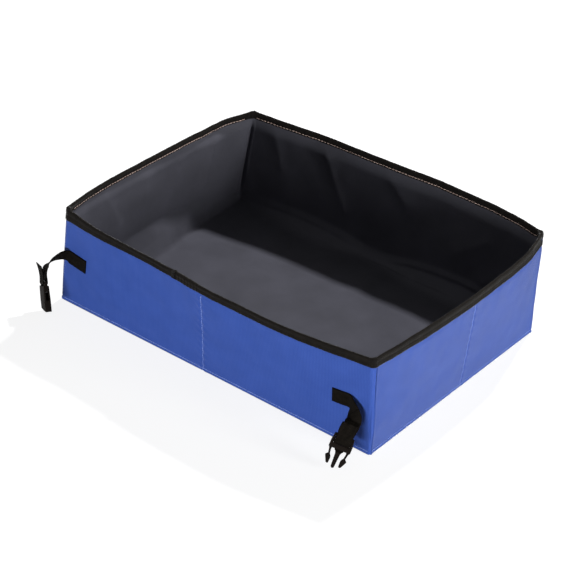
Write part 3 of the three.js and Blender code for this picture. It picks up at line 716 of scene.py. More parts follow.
def cover_panel(name, first, last, columns, nodes):
    """One wall panel between two seam stations; its edges turn in where it is sewn to the next."""
    def place(across, up):
        station = first + (last - first) * across
        z = WALL_HEIGHT * up
        edge = min(station - first, last - station)
        tuck = PANEL_TUCK * hump(edge, PANEL_TUCK_WIDTH) * ease(z, 0, 2 * HEM_HEIGHT)
        return cover_point(station, z, corner_welt(station) - tuck)
    length = panel_length(first, last)
    bm = laid_grid(columns, COVER_ROWS, place, (length, WALL_HEIGHT))
    panel = thicken(new_piece(name, bm, OXFORD, "tray"), COVER_THICKNESS)
    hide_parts(*nodes)


def panel_length(first, last):
    """Metres round the tray between two stations, at half height."""
    return path_length([cover_point(first + (last - first) * step / LENGTH_STEPS, WALL_HEIGHT / 2)
                        for step in range(LENGTH_STEPS + 1)])


for side, first, last in zip(SIDES, SEAM_STATIONS, SEAM_STATIONS[1:]):
    columns = LONG_COLUMNS if WALLS[side]["long"] else SHORT_COLUMNS
    cover_panel(f"{side}_panel", first, last, columns, [f"cover_{side}"])


BASE_COLUMNS = 100
BASE_ROWS = 76
BASE_SWELL = (0.0001, 0.03, 40)
BASE_LIFT = 0.0001


def base_panel():
    """The underside: a rounded rectangle of the same cloth, flat where it rests."""
    half_x = BASE_LENGTH / 2 - COVER_THICKNESS
    half_y = BASE_WIDTH / 2 - COVER_THICKNESS
    radius = BOTTOM_CORNER_RADIUS - COVER_THICKNESS

    def place(across, up):
        x = (2 * across - 1) * half_x
        y = (2 * up - 1) * half_y
        over_x = abs(x) - (half_x - radius)
        over_y = abs(y) - (half_y - radius)
        if over_x > 0 and over_y > 0:
            square = max(over_x, over_y)
            scale = square / math.hypot(over_x, over_y)
            x = math.copysign(half_x - radius + over_x * scale, x)
            y = math.copysign(half_y - radius + over_y * scale, y)
        return Vector((x, y, BASE_LIFT + uneven(x, y, BASE_SWELL)))
    bm = laid_grid(BASE_COLUMNS, BASE_ROWS, place, (2 * half_x, 2 * half_y))
    bmesh.ops.reverse_faces(bm, faces=bm.faces)
    panel = thicken(new_piece("base_panel", bm, OXFORD, "tray"), COVER_THICKNESS)
    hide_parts("cover_base")


base_panel()


# Seams: light blue thread down the middle of each wall and round the hem

SEAM_THREAD = 0.0007
SEAM_STITCH = 0.003
SEAM_STITCH_SHARE = 1.02
HEM_STITCH_HEIGHT = 0.0036
SEAM_FOOT = 0.001
SEAM_TOP = BINDING_BOTTOM - 0.003
HEM_END_GAP = 0.003
SEAM_LIFT = 0.0001


def wall_line(side, height=None):
    """A line on one wall, level at a height or upright down its middle, for stitches to follow."""
    def at(distance, lift):
        z = distance if height is None else height
        along = seam_place(side, z) if height is None else distance
        return cover_point(station_of(side, along, z), z, lift + SEAM_LIFT)
    return at


def row_reach(side, end_gap):
    """How far a row of stitches runs each way from a wall's middle, with a gap to the corner."""
    return (BASE_LENGTH if WALLS[side]["long"] else BASE_WIDTH) / 2 - end_gap


def sew_seams():
    rows = []
    for side in SIDES:
        half = row_reach(side, HEM_END_GAP)
        rows.append((wall_line(side), SEAM_FOOT, SEAM_TOP, SEAM_STITCH, SEAM_STITCH_SHARE))
        rows.append((wall_line(side, HEM_STITCH_HEIGHT), -half, half, SEAM_STITCH, SEAM_STITCH_SHARE))
    piece = sew("blue_seam_stitches", BLUE_THREAD, "tray", rows, SEAM_THREAD)


sew_seams()


# Liner: one bag whose film springs off the walls before it reaches the floor

LINER_COLUMNS = 150
LINER_ROWS = 116
LINER_RISERS = 44
BOX_EDGE = 0.9999
BEND_SHARE = 0.24
LINER_STEP_TOP = BINDING_BOTTOM + 0.005
LINER_STEP_BOTTOM = BINDING_BOTTOM - 0.0085
# Round the tray at even steps along each wall: how far out the film lands, how high it leaves the wall,
# how sharp its ridge at the wall is and how sharp its crease on the floor
FILM_TOES = {
    "front": (0.012, 0.018, 0.02, 0.02, 0.02, 0.02, 0.02, 0.018, 0.012),
    "right": (0.012, 0.016, 0.018, 0.018, 0.018, 0.02, 0.02, 0.02, 0.018),
    "back": (0.018, 0.028, 0.03, 0.028, 0.018, 0.024, 0.026, 0.02, 0.005),
    "left": (0.005, 0.006, 0.0085, 0.014, 0.02, 0.022, 0.023, 0.019, 0.012),
}
FILM_LIFTS = {
    "front": (0.012, 0.016, 0.018, 0.018, 0.018, 0.018, 0.018, 0.016, 0.012),
    "right": (0.012, 0.016, 0.018, 0.018, 0.018, 0.018, 0.018, 0.018, 0.016),
    "back": (0.016, 0.0163, 0.0185, 0.0145, 0.0052, 0.0108, 0.0128, 0.0095, 0.004),
    "left": (0.004, 0.016, 0.024, 0.028, 0.03, 0.03, 0.028, 0.022, 0.012),
}
FILM_RIDGES = {
    "front": (0, 0),
    "right": (0, 0.3),
    "back": (0.3, 0.4, 0.4, 0.4, 0.1),
    "left": (0.3, 0.5, 0.45, 0.2, 0),
}
FILM_CREASES = {
    "front": (0, 0),
    "right": (0, 0),
    "back": (0, 0, 0.3),
    "left": (0.3, 0.5, 0.5, 0.25, 0),
}
FILM_TABLES = (FILM_TOES, FILM_LIFTS, FILM_RIDGES, FILM_CREASES)
STRAIGHT_BEND = 0.0001


def film_bend(side, share):
    """Where the film lands and leaves the wall, and its two sharpnesses, at one place round the tray."""
    return tuple(run_along(table[side], share) for table in FILM_TABLES)


def bend_at(bend, share):
    """Distance from the wall and height over the floor, a share of the way from wall to floor."""
    toe, lift, ridge, crease = bend
    gap = 2 * share * (1 - share) * ridge * toe + share ** 2 * toe
    rise = (1 - share) ** 2 * lift + 2 * share * (1 - share) * crease * lift
    return gap, rise


def bend_rise(bend, gap):
    """Height over the floor of the bent film at a distance from the wall."""
    toe, _, ridge, _ = bend
    if gap >= toe:
        return 0.0
    square = toe * (1 - 2 * ridge)
    linear = 2 * ridge * toe
    gap = max(gap, 0)
    if abs(square) < STRAIGHT_BEND:
        share = gap / max(linear, STRAIGHT_BEND)
    else:
        share = (math.sqrt(linear ** 2 + 4 * square * gap) - linear) / (2 * square)
    return bend_at(bend, min(share, 1))[1]


def film_inset(z):
    """The inner face of the liner, inward from the cover's outer face, above the bend."""
    return LINER_INNER + (LINER_RIM_INNER - LINER_INNER) * ease(z, LINER_STEP_BOTTOM, LINER_STEP_TOP)


def wall_film(side, share, climb):
    """A point of an inner wall; climb runs from 0 at the middle of the bend to 1 at the rim."""
    bend = film_bend(side, share)
    if climb < BEND_SHARE:
        gap, rise = bend_at(bend, 0.5 * (1 - climb / BEND_SHARE))
    else:
        gap = 0.0
        top = WALL_HEIGHT - LINER_FLOOR_TOP
        rise = bend[1] + (top - bend[1]) * (climb - BEND_SHARE) / (1 - BEND_SHARE)
    z = LINER_FLOOR_TOP + rise
    return shell_point(side, share, z, film_inset(z) + gap - film_push(side, share, z, bend))


def floor_film(across, up):
    """A point of the floor from its four edges, raised where it bends up to the walls."""
    edge = [wall_film("front", across, 0), wall_film("back", 1 - across, 0),
            wall_film("left", 1 - up, 0), wall_film("right", up, 0)]
    corner = [wall_film(side, share, 0)
              for side, share in (("front", 0), ("front", 1), ("back", 1), ("back", 0))]
    point = edge[0] * (1 - up) + edge[1] * up + edge[2] * (1 - across) + edge[3] * across
    point -= (corner[0] * (1 - across) + corner[1] * across) * (1 - up)
    point -= (corner[2] * (1 - across) + corner[3] * across) * up
    reaches = (("front", across, point.y - edge[0].y), ("back", 1 - across, edge[1].y - point.y),
               ("left", 1 - up, point.x - edge[2].x), ("right", up, edge[3].x - point.x))
    rises = []
    for side, share, reach in reaches:
        bend = film_bend(side, share)
        rises.append(bend_rise(bend, reach + bend_at(bend, 0.5)[0]))
    point.z = LINER_FLOOR_TOP + max(rises) + floor_push(point.x, point.y)
    return point


# Creases pressed into the film: wall, two ends (metres along it from its middle, height), height, width
WALL_CREASES = (
    ("back", (0.1006, 0.105), (0.0565, 0.042), 0.0022, 0.006),
    ("back", (0.014, 0.104), (-0.02, 0.078), 0.0016, 0.005),
    ("back", (0.165, 0.098), (0.15, 0.06), 0.0016, 0.009),
    ("back", (-0.135, 0.075), (-0.1, 0.05), 0.003, 0.016),
    ("back", (-0.175, 0.055), (-0.14, 0.03), 0.003, 0.012),
    ("back", (0.135, 0.103), (0.08, 0.09), 0.0012, 0.008),
    ("left", (-0.1, 0.1), (-0.085, 0.05), 0.0012, 0.01),
    ("left", (0.02, 0.1), (0.03, 0.04), 0.0015, 0.02),
    ("left", (0.09, 0.095), (0.07, 0.06), 0.0012, 0.014),
    ("front", (0.04, 0.1), (0.02, 0.05), 0.0014, 0.014),
    ("right", (0.03, 0.1), (0.05, 0.05), 0.0014, 0.014),
)
RIDGE_SWELL = {"front": 0, "right": 0, "back": 0.0028, "left": 0}
RIDGE_WIDTH = 0.003
CORNER_GROOVE = 0.0024
CORNER_GROOVE_SHARE = 0.016
RIDGE_FADE_SHARE = 0.15
FILM_FREE_FOOT = 0.006
FILM_FREE_FULL = 0.03
FILM_FREE_TOP = 0.094
FILM_BULGE = (0.0035, 0.075, 50)
FILM_RIPPLE = (0.0012, 0.03, 55)
FLOOR_SWELL = (0.0009, 0.09, 60)
FLOOR_RIPPLE = (0.0004, 0.035, 61)
FLOOR_FOLD = 0.0012
FLOOR_FOLD_PLACE = 0.02
FLOOR_FOLD_WIDTH = 0.012
FLOOR_FOLD_START = -0.05
FLOOR_FOLD_FULL = 0.1


def from_segment(point, start, end):
    """Distance of a flat point from a line between two others."""
    span = (end[0] - start[0], end[1] - start[1])
    offset = (point[0] - start[0], point[1] - start[1])
    share = (offset[0] * span[0] + offset[1] * span[1]) / (span[0] ** 2 + span[1] ** 2)
    share = min(max(share, 0), 1)
    return math.hypot(offset[0] - share * span[0], offset[1] - share * span[1])


def film_push(side, share, z, bend):
    """How far the film stands out towards the cover; it bulges in where this is negative."""
    place = place_of(side, share, z)
    wall = SIDES.index(side)
    fade = ease(z, FILM_FREE_FOOT, FILM_FREE_FULL) * (1 - ease(z, FILM_FREE_TOP, LINER_STEP_TOP))
    push = -sum(max(uneven(place, z, wave, wall), 0) for wave in (FILM_BULGE, FILM_RIPPLE)) * fade
    for creased, start, end, height, width in WALL_CREASES:
        if creased == side:
            push -= height * math.exp(-from_segment((place, z), start, end) / width) * fade
    from_corner = min(share, 1 - share)
    ridge = RIDGE_SWELL[side] * hump(z - LINER_FLOOR_TOP - bend[1], RIDGE_WIDTH)
    push -= ridge * ease(from_corner, 0, RIDGE_FADE_SHARE)
    return push + CORNER_GROOVE * hump(from_corner, CORNER_GROOVE_SHARE) * fade


def floor_push(x, y):
    """The floor's soft unevenness, and the fold line between its two boards."""
    push = uneven(x, y, FLOOR_SWELL) + uneven(x, y, FLOOR_RIPPLE)
    fold = hump(x - FLOOR_FOLD_PLACE, FLOOR_FOLD_WIDTH) * ease(y, FLOOR_FOLD_START, FLOOR_FOLD_FULL)
    return push + FLOOR_FOLD * fold


def make_liner():
    bm = bmesh.new()
    bmesh.ops.create_cube(bm, size=2)
    top = [face for face in bm.faces if face.normal.z > 0.5]
    bmesh.ops.delete(bm, geom=top, context="FACES")
    for axis, cuts in ((0, LINER_COLUMNS), (1, LINER_ROWS), (2, LINER_RISERS)):
        cut_along(bm, axis, cuts)
    for vert in bm.verts:
        vert.co = liner_point(*vert.co)
    bmesh.ops.reverse_faces(bm, faces=bm.faces)
    liner = thicken(new_piece("liner_bag", bm, FILM, "tray"), LINER_THICKNESS)
    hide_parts("liner")


def liner_point(x, y, z):
    """Where a point of a box from -1 to 1 each way goes on the bag."""
    if max(abs(x), abs(y)) < BOX_EDGE:
        return floor_film((x + 1) / 2, (y + 1) / 2)
    climb = (z + 1) / 2
    if abs(y) >= BOX_EDGE:
        side, share = ("back", (1 - x) / 2) if y > 0 else ("front", (x + 1) / 2)
    else:
        side, share = ("right", (y + 1) / 2) if x > 0 else ("left", (1 - y) / 2)
    return wall_film(side, share, climb)


make_liner()


# Binding: one tape folded over the rim; its ends lap on the front wall

TAPE_COLUMNS = 760
TAPE_ROWS = 26
TAPE_THICKNESS = 0.0006
TAPE_OUT = -0.0009
TAPE_IN = 0.0027
TAPE_TOP = RIM_TOP
TAPE_INNER_BOTTOM = RIM_TOP - 0.0075
TAPE_OUTER_SHARE = 0.42
TAPE_INNER_SHARE = 0.26
TAPE_STITCH_RISE = 0.0016
TAPE_STITCH = 0.0042
TAPE_STITCH_SHARE = 0.86
TAPE_THREAD = 0.00075
KNOT_WIDTH = 0.0012
KNOT_STITCH = 0.13
KNOT_THREAD = 0.0014
KNOT_SPAN = (0.04, 0.56)
KNOT_STITCHES = 3
LAP_GROWTH = 0.0006
LAP_COLUMNS = 48
LAP_END_SWELL = 0.9
LAP_END_SHARE = 0.06
LAP_FADE = 0.6
LAP_FADE_SHARE = 0.75
TAPE_WELD = 0.00001
TAPE_PINCH = 0.0003
TAPE_PINCH_WIDTH = 0.001
TAPE_WAVE = (0.0003, 0.012, 84)
TAPE_HEM_WAVE = (0.0005, 0.022, 80)
TAPE_HEM_RIPPLE = (0.00025, 0.007, 81)
TAPE_STITCH_PULL = 0.00015
TAPE_ROW_END_GAP = 0.006
INSIDE_ROW_RISE = 1.2
OUTSIDE_ROW_RISE = 0.2
OUTSIDE_THREAD_SHARE = 0.7


def tape_section(up, grow=0.0):
    """The outer skin of the folded tape, from its outside hem over the rim to its inside hem."""
    outer = TAPE_OUT - grow
    inner = TAPE_IN + grow
    radius = (inner - outer) / 2
    spring = TAPE_TOP + grow - radius
    if up < TAPE_OUTER_SHARE:
        return outer, BINDING_BOTTOM + (spring - BINDING_BOTTOM) * up / TAPE_OUTER_SHARE
    if up > 1 - TAPE_INNER_SHARE:
        return inner, TAPE_INNER_BOTTOM + (spring - TAPE_INNER_BOTTOM) * (1 - up) / TAPE_INNER_SHARE
    turn = math.pi * (up - TAPE_OUTER_SHARE) / (1 - TAPE_OUTER_SHARE - TAPE_INNER_SHARE)
    return outer + radius * (1 - math.cos(turn)), spring + radius * math.sin(turn)


def tape_point(station, up, grow=0.0):
    side, share = side_of(station)
    inset, z = tape_section(up, grow)
    place = place_of(side, share, z)
    wall = SIDES.index(side)
    facing = 1 if up > 0.5 else -1
    pinch = TAPE_PINCH * hump(z - TAPE_INNER_BOTTOM - TAPE_STITCH_RISE, TAPE_PINCH_WIDTH) * facing
    pull = TAPE_STITCH_PULL * math.sin(2 * math.pi * place / TAPE_STITCH)
    dent = uneven(place, z, TAPE_WAVE, wall) + pull
    z += uneven(place, 0, TAPE_HEM_WAVE, wall) + uneven(place, 0, TAPE_HEM_RIPPLE, wall)
    return shell_point(side, share, z, inset - pinch + dent)


def make_binding():
    around = 2 * (BASE_LENGTH + BASE_WIDTH)
    tape_width = (TAPE_TOP - BINDING_BOTTOM) + (TAPE_TOP - TAPE_INNER_BOTTOM) + TAPE_IN - TAPE_OUT
    bm = laid_grid(TAPE_COLUMNS, TAPE_ROWS, lambda across, up: tape_point(4 * across, up),
                   (around, tape_width))
    bmesh.ops.remove_doubles(bm, verts=bm.verts, dist=TAPE_WELD)
    tape = thicken(new_piece("rim_tape", bm, TAPE, "tray"), TAPE_THICKNESS)
    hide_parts("rim_binding")
    lap_first = station_of("front", BINDING_LAP_START, WALL_HEIGHT)
    lap_last = station_of("front", BINDING_LAP_START + BINDING_LAP_LENGTH, WALL_HEIGHT)

    def lap_place(across, up):
        lifted = LAP_GROWTH * (1 + LAP_END_SWELL * hump(across, LAP_END_SHARE)
                               - LAP_FADE * ease(across, LAP_FADE_SHARE, 1))
        return tape_point(lap_first + (lap_last - lap_first) * across, up, lifted)
    lap = laid_grid(LAP_COLUMNS, TAPE_ROWS, lap_place, (BINDING_LAP_LENGTH, tape_width))
    lapped = thicken(new_piece("rim_tape_lap", lap, TAPE, "tray"), TAPE_THICKNESS)


make_binding()


def tape_line(side, up):
    """A line along the tape on one wall, a share of the way across it, for stitches to follow."""
    def at(distance, lift):
        return tape_point(station_of(side, distance, WALL_HEIGHT), up, lift)
    return at


def across_tape(place):
    """A line across the tape, from its outside hem up over the rim, lifted clear of the lap."""
    def at(up, lift):
        return tape_point(station_of("front", place, WALL_HEIGHT), up, 2 * LAP_GROWTH + lift)
    return at


def sew_binding():
    inside, outside = [], []
    up_inside = 1 - TAPE_INNER_SHARE * TAPE_STITCH_RISE / (TAPE_TOP - TAPE_INNER_BOTTOM) * INSIDE_ROW_RISE
    up_outside = TAPE_OUTER_SHARE * OUTSIDE_ROW_RISE
    for side in SIDES:
        half = row_reach(side, TAPE_ROW_END_GAP)
        inside.append((tape_line(side, up_inside), -half, half, TAPE_STITCH, TAPE_STITCH_SHARE))
        outside.append((tape_line(side, up_outside), -half, half, TAPE_STITCH, TAPE_STITCH_SHARE))
    knot = [(across_tape(BINDING_LAP_START + KNOT_WIDTH * step), *KNOT_SPAN, KNOT_STITCH, 1)
            for step in range(KNOT_STITCHES)]
    for name, thread, rows, width in (
            ("black_lap_knot", BLACK_THREAD, knot, KNOT_THREAD),
            ("beige_binding_stitches", BEIGE_THREAD, inside, TAPE_THREAD),
            ("black_binding_stitches", BLACK_THREAD, outside, TAPE_THREAD * OUTSIDE_THREAD_SHARE)):
        sew(name, thread, "tray", rows, width)


sew_binding()


# Straps: flat webbing laid along routes that repeat the solids' own

BUCKLE_WIDTH = 0.022
PLUG_RAIL_WIDTH = 0.0023
WEBBING_SIDE_CLEARANCE = 0.0007
WEBBING_WIDTH = BUCKLE_WIDTH - 2 * PLUG_RAIL_WIDTH - 2 * WEBBING_SIDE_CLEARANCE
WEBBING_THICKNESS = 0.001
STRAP_SEAT_GAP = 0.00045
STRIP_COLUMNS = 10
STRIP_ROW_PITCH = 0.0008
LEAST_STRIP_ROWS = 12
ROUTE_STEPS = 120
STRIP_JOIN_SHARE = 0.5
LEAST_SPAN_SQUARED = 1e-12


def spline_value(points, t):
    """A centripetal curve through points: where it is at t, 0 to 1, and which way it runs."""
    last = len(points) - 1
    place = min(max(t, 0), 1) * last
    first = min(int(place), last - 1)
    weight = place - first
    p1, p2 = points[first], points[first + 1]
    p0 = points[first - 1] if first > 0 else 2 * p1 - p2
    p3 = points[first + 2] if first + 2 <= last else 2 * p2 - p1
    d0, d1, d2 = (max((b - a).length_squared, LEAST_SPAN_SQUARED) ** 0.25
                  for a, b in ((p0, p1), (p1, p2), (p2, p3)))
    m1 = ((p1 - p0) / d0 - (p2 - p0) / (d0 + d1) + (p2 - p1) / d1) * d1
    m2 = ((p2 - p1) / d1 - (p3 - p1) / (d1 + d2) + (p3 - p2) / d2) * d1
    c2 = -3 * p1 + 3 * p2 - 2 * m1 - m2
    c3 = 2 * p1 - 2 * p2 + m1 + m2
    at = p1 + m1 * weight + c2 * weight ** 2 + c3 * weight ** 3
    along = m1 + 2 * c2 * weight + 3 * c3 * weight ** 2
    return at, along.normalized()


def on_front_wall(x, z):
    return shell_point("front", share_of("front", x, z), z, -STRAP_SEAT_GAP - WEBBING_THICKNESS / 2)


def anchor_route(wall_end, sewn):
    """The sewn end of a strap, flat on the front wall; wall_end is -1 for the left, 1 for the right."""
    (start_x, start_z), (end_x, end_z) = ((wall_end * (BASE_LENGTH / 2 - inward), height)
                                          for inward, height in sewn)
    lean = (start_z - end_z) / (end_x - start_x) * WEBBING_WIDTH / 2
    route = []
    for share in (0, 0.5, 1):
        x = start_x + (end_x - start_x) * share
        z = start_z + (end_z - start_z) * share
        top = on_front_wall(x + lean, z + WEBBING_WIDTH / 2)
        bottom = on_front_wall(x - lean, z - WEBBING_WIDTH / 2)
        route.append((on_front_wall(x, z), (top - bottom).normalized()))
    return route


def offset_from(start, shares):
    """A point beside another one, in shares of the webbing's width."""
    return start + Vector(shares) * WEBBING_WIDTH


def route_from(start, rows):
    return [(offset_from(start, offset), Vector(across).normalized()) for offset, across in rows]


class MouldFrame:
    """Directions of a buckle half: along it, across it and out of its face."""

    def __init__(self, along, across):
        self.along = Vector(along).normalized()
        across = Vector(across).normalized()
        self.across = (across - self.along * across.dot(self.along)).normalized()
        self.normal = self.across.cross(self.along).normalized()

    def at(self, origin, across, along, normal):
        return origin + self.across * across + self.along * along + self.normal * normal

    def matrix(self, origin):
        turn = Matrix((self.across, self.along, self.normal)).transposed().to_4x4()
        return Matrix.Translation(origin) @ turn


# Where each sewn end starts and where it leaves the wall: in from the wall's end, and height
LEFT_SEWN = ((0.0368, 0.0562), (0.0147, 0.0582))
RIGHT_SEWN = ((0.0464, 0.0534), (0.0264, 0.0539))
LEFT_ANCHOR = anchor_route(-1, LEFT_SEWN)
LEFT_EXIT = LEFT_ANCHOR[2][0]
LEFT_UPPER = [LEFT_ANCHOR[2]] + route_from(LEFT_EXIT, [
    ((-0.23, -0.11, 0.1), (0.16, -0.3, 0.94)),
    ((-0.41, -0.36, 0.13), (0.26, -0.46, 0.85)),
    ((-0.6, -0.6, 0.02), (0.33, -0.6, 0.72)),
    ((-0.79, -0.82, -0.15), (0.42, -0.68, 0.58)),
    ((-0.91, -0.98, -0.36), (0.53, -0.72, 0.45)),
])
SOCKET_FRAME = MouldFrame((0.408, -0.264, -0.874), (0.721, -0.493, 0.487))
SOCKET_BAR = offset_from(LEFT_EXIT, (-0.99, -1.42, -1.7))
LOOP_BAR_DIAMETER = 0.003
TURN_STEPS = 8


def turn_round_bar(origin, directions, diameter, start_side):
    """The half turn of the webbing's middle round a bar."""
    radius = diameter / 2 + LAYER_GAP + WEBBING_THICKNESS / 2
    route = []
    for step in range(TURN_STEPS + 1):
        angle = math.pi * step / TURN_STEPS
        at = directions.at(origin, 0, radius * math.sin(angle), start_side * radius * math.cos(angle))
        route.append((at, directions.across.copy()))
    return route


# The free end beyond the bar: how far back, how far out and which way it is turned
LEFT_TAIL = (
    (-0.4, -0.1, (0.74, -0.48, 0.47)),
    (-0.85, -0.13, (0.79, -0.48, 0.38)),
    (-1.19, -0.196, (0.862, -0.458, 0.219)),
)
LEFT_LOWER = [
    LEFT_UPPER[-1],
    *route_from(LEFT_EXIT, [
        ((-1.04, -1.2, -0.63), (0.79, -0.44, 0.43)),
        ((-1.02, -1.31, -1.03), (0.75, -0.47, 0.46)),
    ]),
    *turn_round_bar(SOCKET_BAR, SOCKET_FRAME, LOOP_BAR_DIAMETER, 1),
    *((SOCKET_FRAME.at(SOCKET_BAR, 0, along * WEBBING_WIDTH, normal * WEBBING_WIDTH),
       Vector(across).normalized())
      for along, normal, across in LEFT_TAIL),
]

RIGHT_ANCHOR = anchor_route(1, RIGHT_SEWN)
RIGHT_EXIT = RIGHT_ANCHOR[2][0]
RIGHT_UPPER = [RIGHT_ANCHOR[2]] + route_from(RIGHT_EXIT, [
    ((0.32, -0.24, -0.18), (0.4, -0.1, 0.9)),
    ((0.68, -0.48, -0.52), (0.78, 0.2, 0.55)),
    ((0.78, -0.66, -0.84), (0.89, 0.46, -0.08)),
])
PLUG_FRAME = MouldFrame((0.027, -0.574, -0.818), (0.88, 0.402, -0.253))
PLUG_BAR = offset_from(RIGHT_EXIT, (0.82, -1.65, -1.78))
MIDDLE_BAR_DIAMETER = 0.0026
MIDDLE_BAR_PLACE = 0.0072
END_BAR_LENGTH = 0.0024
END_BAR_THICKNESS = 0.0014
END_BAR_SETBACK = 0.0011
NEAR = -1
MAIN_AT_END_BAR = NEAR * (WEBBING_THICKNESS / 2 + LAYER_GAP - END_BAR_SETBACK + END_BAR_THICKNESS / 2)
TAIL_AT_END_BAR = MAIN_AT_END_BAR + NEAR * (WEBBING_THICKNESS + LAYER_GAP)
END_BAR_PLACE = -(MIDDLE_BAR_PLACE - END_BAR_LENGTH / 2)


def beside_plug(skew, back, normal):
    """A point beyond the plug's end bar; skew and back are shares of the webbing's width."""
    along = -(MIDDLE_BAR_PLACE + back * WEBBING_WIDTH)
    return PLUG_FRAME.at(PLUG_BAR, skew * WEBBING_WIDTH, along, normal), PLUG_FRAME.across.copy()


def at_end_bar(normal, along=END_BAR_PLACE):
    """Where the webbing passes the plug's end bar, a distance out of the plug's face."""
    return PLUG_FRAME.at(PLUG_BAR, 0, along, normal), PLUG_FRAME.across.copy()


RIGHT_LOWER = [
    RIGHT_UPPER[-1],
    beside_plug(0.06, 0.35, MAIN_AT_END_BAR),
    at_end_bar(MAIN_AT_END_BAR, END_BAR_PLACE + END_BAR_LENGTH / 2),
    *turn_round_bar(PLUG_BAR, PLUG_FRAME, MIDDLE_BAR_DIAMETER, -NEAR),
    at_end_bar(TAIL_AT_END_BAR + NEAR * LAYER_GAP),
    beside_plug(-0.02, 0.35, TAIL_AT_END_BAR),
    beside_plug(0.02, 0.76, TAIL_AT_END_BAR),
]


def route_length(route, start, end):
    """Metres along part of a route, from share start to share end."""
    places = [at for at, _ in route]
    return path_length([spline_value(places, start + (end - start) * step / ROUTE_STEPS)[0]
                        for step in range(ROUTE_STEPS + 1)])


def webbing_strip(route, start, end):
    """The middle of the strip along part of a route; its thickness goes to both sides."""
    centre = [at for at, _ in route]
    acrosses = [across for _, across in route]
    length = route_length(route, start, end)

    def place(over, up):
        t = start + (end - start) * up
        at = spline_value(centre, t)[0]
        across = spline_value(acrosses, t)[0].normalized()
        return at + across * (2 * over - 1) * WEBBING_WIDTH / 2
    rows = max(int(length / STRIP_ROW_PITCH), LEAST_STRIP_ROWS)
    return laid_grid(STRIP_COLUMNS, rows, place, (WEBBING_WIDTH, length))


def strap_piece(name, bm, nodes):
    strap = thicken(new_piece(name, bm, WEBBING, None), WEBBING_THICKNESS, 0)
    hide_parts(*nodes)
    return strap


def blend_across(strap):
    """Bakes a strap's placement into its mesh."""
    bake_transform(strap)


def make_strap(side, anchor, upper, lower):
    """Two strips that meet in the middle of the free upper part, so that each crosses one joint."""
    near = anchor + upper[1:]
    far = upper + lower[1:]
    spans, near_spans, far_spans = len(upper) - 1, len(near) - 1, len(far) - 1
    near_end = (len(anchor) - 1 + spans * STRIP_JOIN_SHARE) / near_spans
    far_start = spans * STRIP_JOIN_SHARE / far_spans
    first = strap_piece(f"{side}_strap_sewn_end", webbing_strip(near, 0, near_end),
                        [f"{side}_strap_anchor", f"{side}_strap_upper"])
    second = strap_piece(f"{side}_strap_loop", webbing_strip(far, far_start, 1),
                         [f"{side}_strap_lower"])
    route_length(near, 0, near_end)
    route_length(far, far_start, 1)
    blend_across(first)
    blend_across(second)


make_strap("left", LEFT_ANCHOR, LEFT_UPPER, LEFT_LOWER)
make_strap("right", RIGHT_ANCHOR, RIGHT_UPPER, RIGHT_LOWER)


# Buckle halves: moulded in their own frames, across, along and out of the face, then put in place

EDGE_ROUNDING = 0.0004
EDGE_STEPS = 2
SHARP_ANGLE = 0.6
BAR_SIDES = 24
SAME_PLACE = 0.0001


def plate(xs, ys, holes, thickness, middle=0.0):
    """A flat moulding from lines across and along; cells named in holes stay open."""
    bm = bmesh.new()
    columns, rows = len(xs) - 1, len(ys) - 1
    bmesh.ops.create_grid(bm, x_segments=columns, y_segments=rows, size=1)
    for vert in bm.verts:
        vert.co.x = xs[round((vert.co.x + 1) / 2 * columns)]
        vert.co.y = ys[round((vert.co.y + 1) / 2 * rows)]
    centres = {face: face.calc_center_median() for face in bm.faces}
    cut = [face for face, centre in centres.items()
           if (sum(centre.x > x for x in xs) - 1, sum(centre.y > y for y in ys) - 1) in holes]
    bmesh.ops.delete(bm, geom=cut, context="FACES")
    return raised(bm, thickness, middle)


def raised(bm, thickness, middle):
    """Gives a flat outline its thickness, half to each side of the middle."""
    made = bmesh.ops.extrude_face_region(bm, geom=bm.faces)
    top = [item for item in made["geom"] if isinstance(item, bmesh.types.BMVert)]
    bmesh.ops.translate(bm, vec=(0, 0, thickness), verts=top)
    bmesh.ops.translate(bm, vec=(0, 0, middle - thickness / 2), verts=bm.verts)
    bmesh.ops.recalc_face_normals(bm, faces=bm.faces)
    return bm


def outline(points, thickness):
    """A flat moulding whose outline runs through the points."""
    bm = bmesh.new()
    bmesh.ops.contextual_create(bm, geom=[bm.verts.new((x, y, 0)) for x, y in points])
    return raised(bm, thickness, 0)


def rounded(bm, size=EDGE_ROUNDING):
    """Rounds every sharp edge, as a mould leaves it."""
    edges = [edge for edge in bm.edges if edge.is_manifold and edge.calc_face_angle(0) > SHARP_ANGLE]
    bmesh.ops.bevel(bm, geom=edges, offset=size, segments=EDGE_STEPS, profile=0.5, affect="EDGES",
                    material=-1, clamp_overlap=True)
    return bm


def bar_across(diameter, length):
    bm = bmesh.new()
    bmesh.ops.create_cone(bm, cap_ends=True, segments=BAR_SIDES, radius1=diameter / 2, radius2=diameter / 2,
                          depth=length, matrix=Matrix.Rotation(math.pi / 2, 4, "Y"))
    return bm


def gathered(parts):
    """One bmesh from several; each part is freed."""
    whole = bmesh.new()
    for part in parts:
        mesh = bpy.data.meshes.new("part")
        part.to_mesh(mesh)
        part.free()
        whole.from_mesh(mesh)
        bpy.data.meshes.remove(mesh)
    return whole


def moulding(name, bm, directions, origin, node):
    bmesh.ops.transform(bm, matrix=directions.matrix(origin), verts=bm.verts)
    piece = new_piece(name, bm, ACETAL, node)
    piece.data.set_sharp_from_angle(angle=SHARP_ANGLE)
    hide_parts(node)


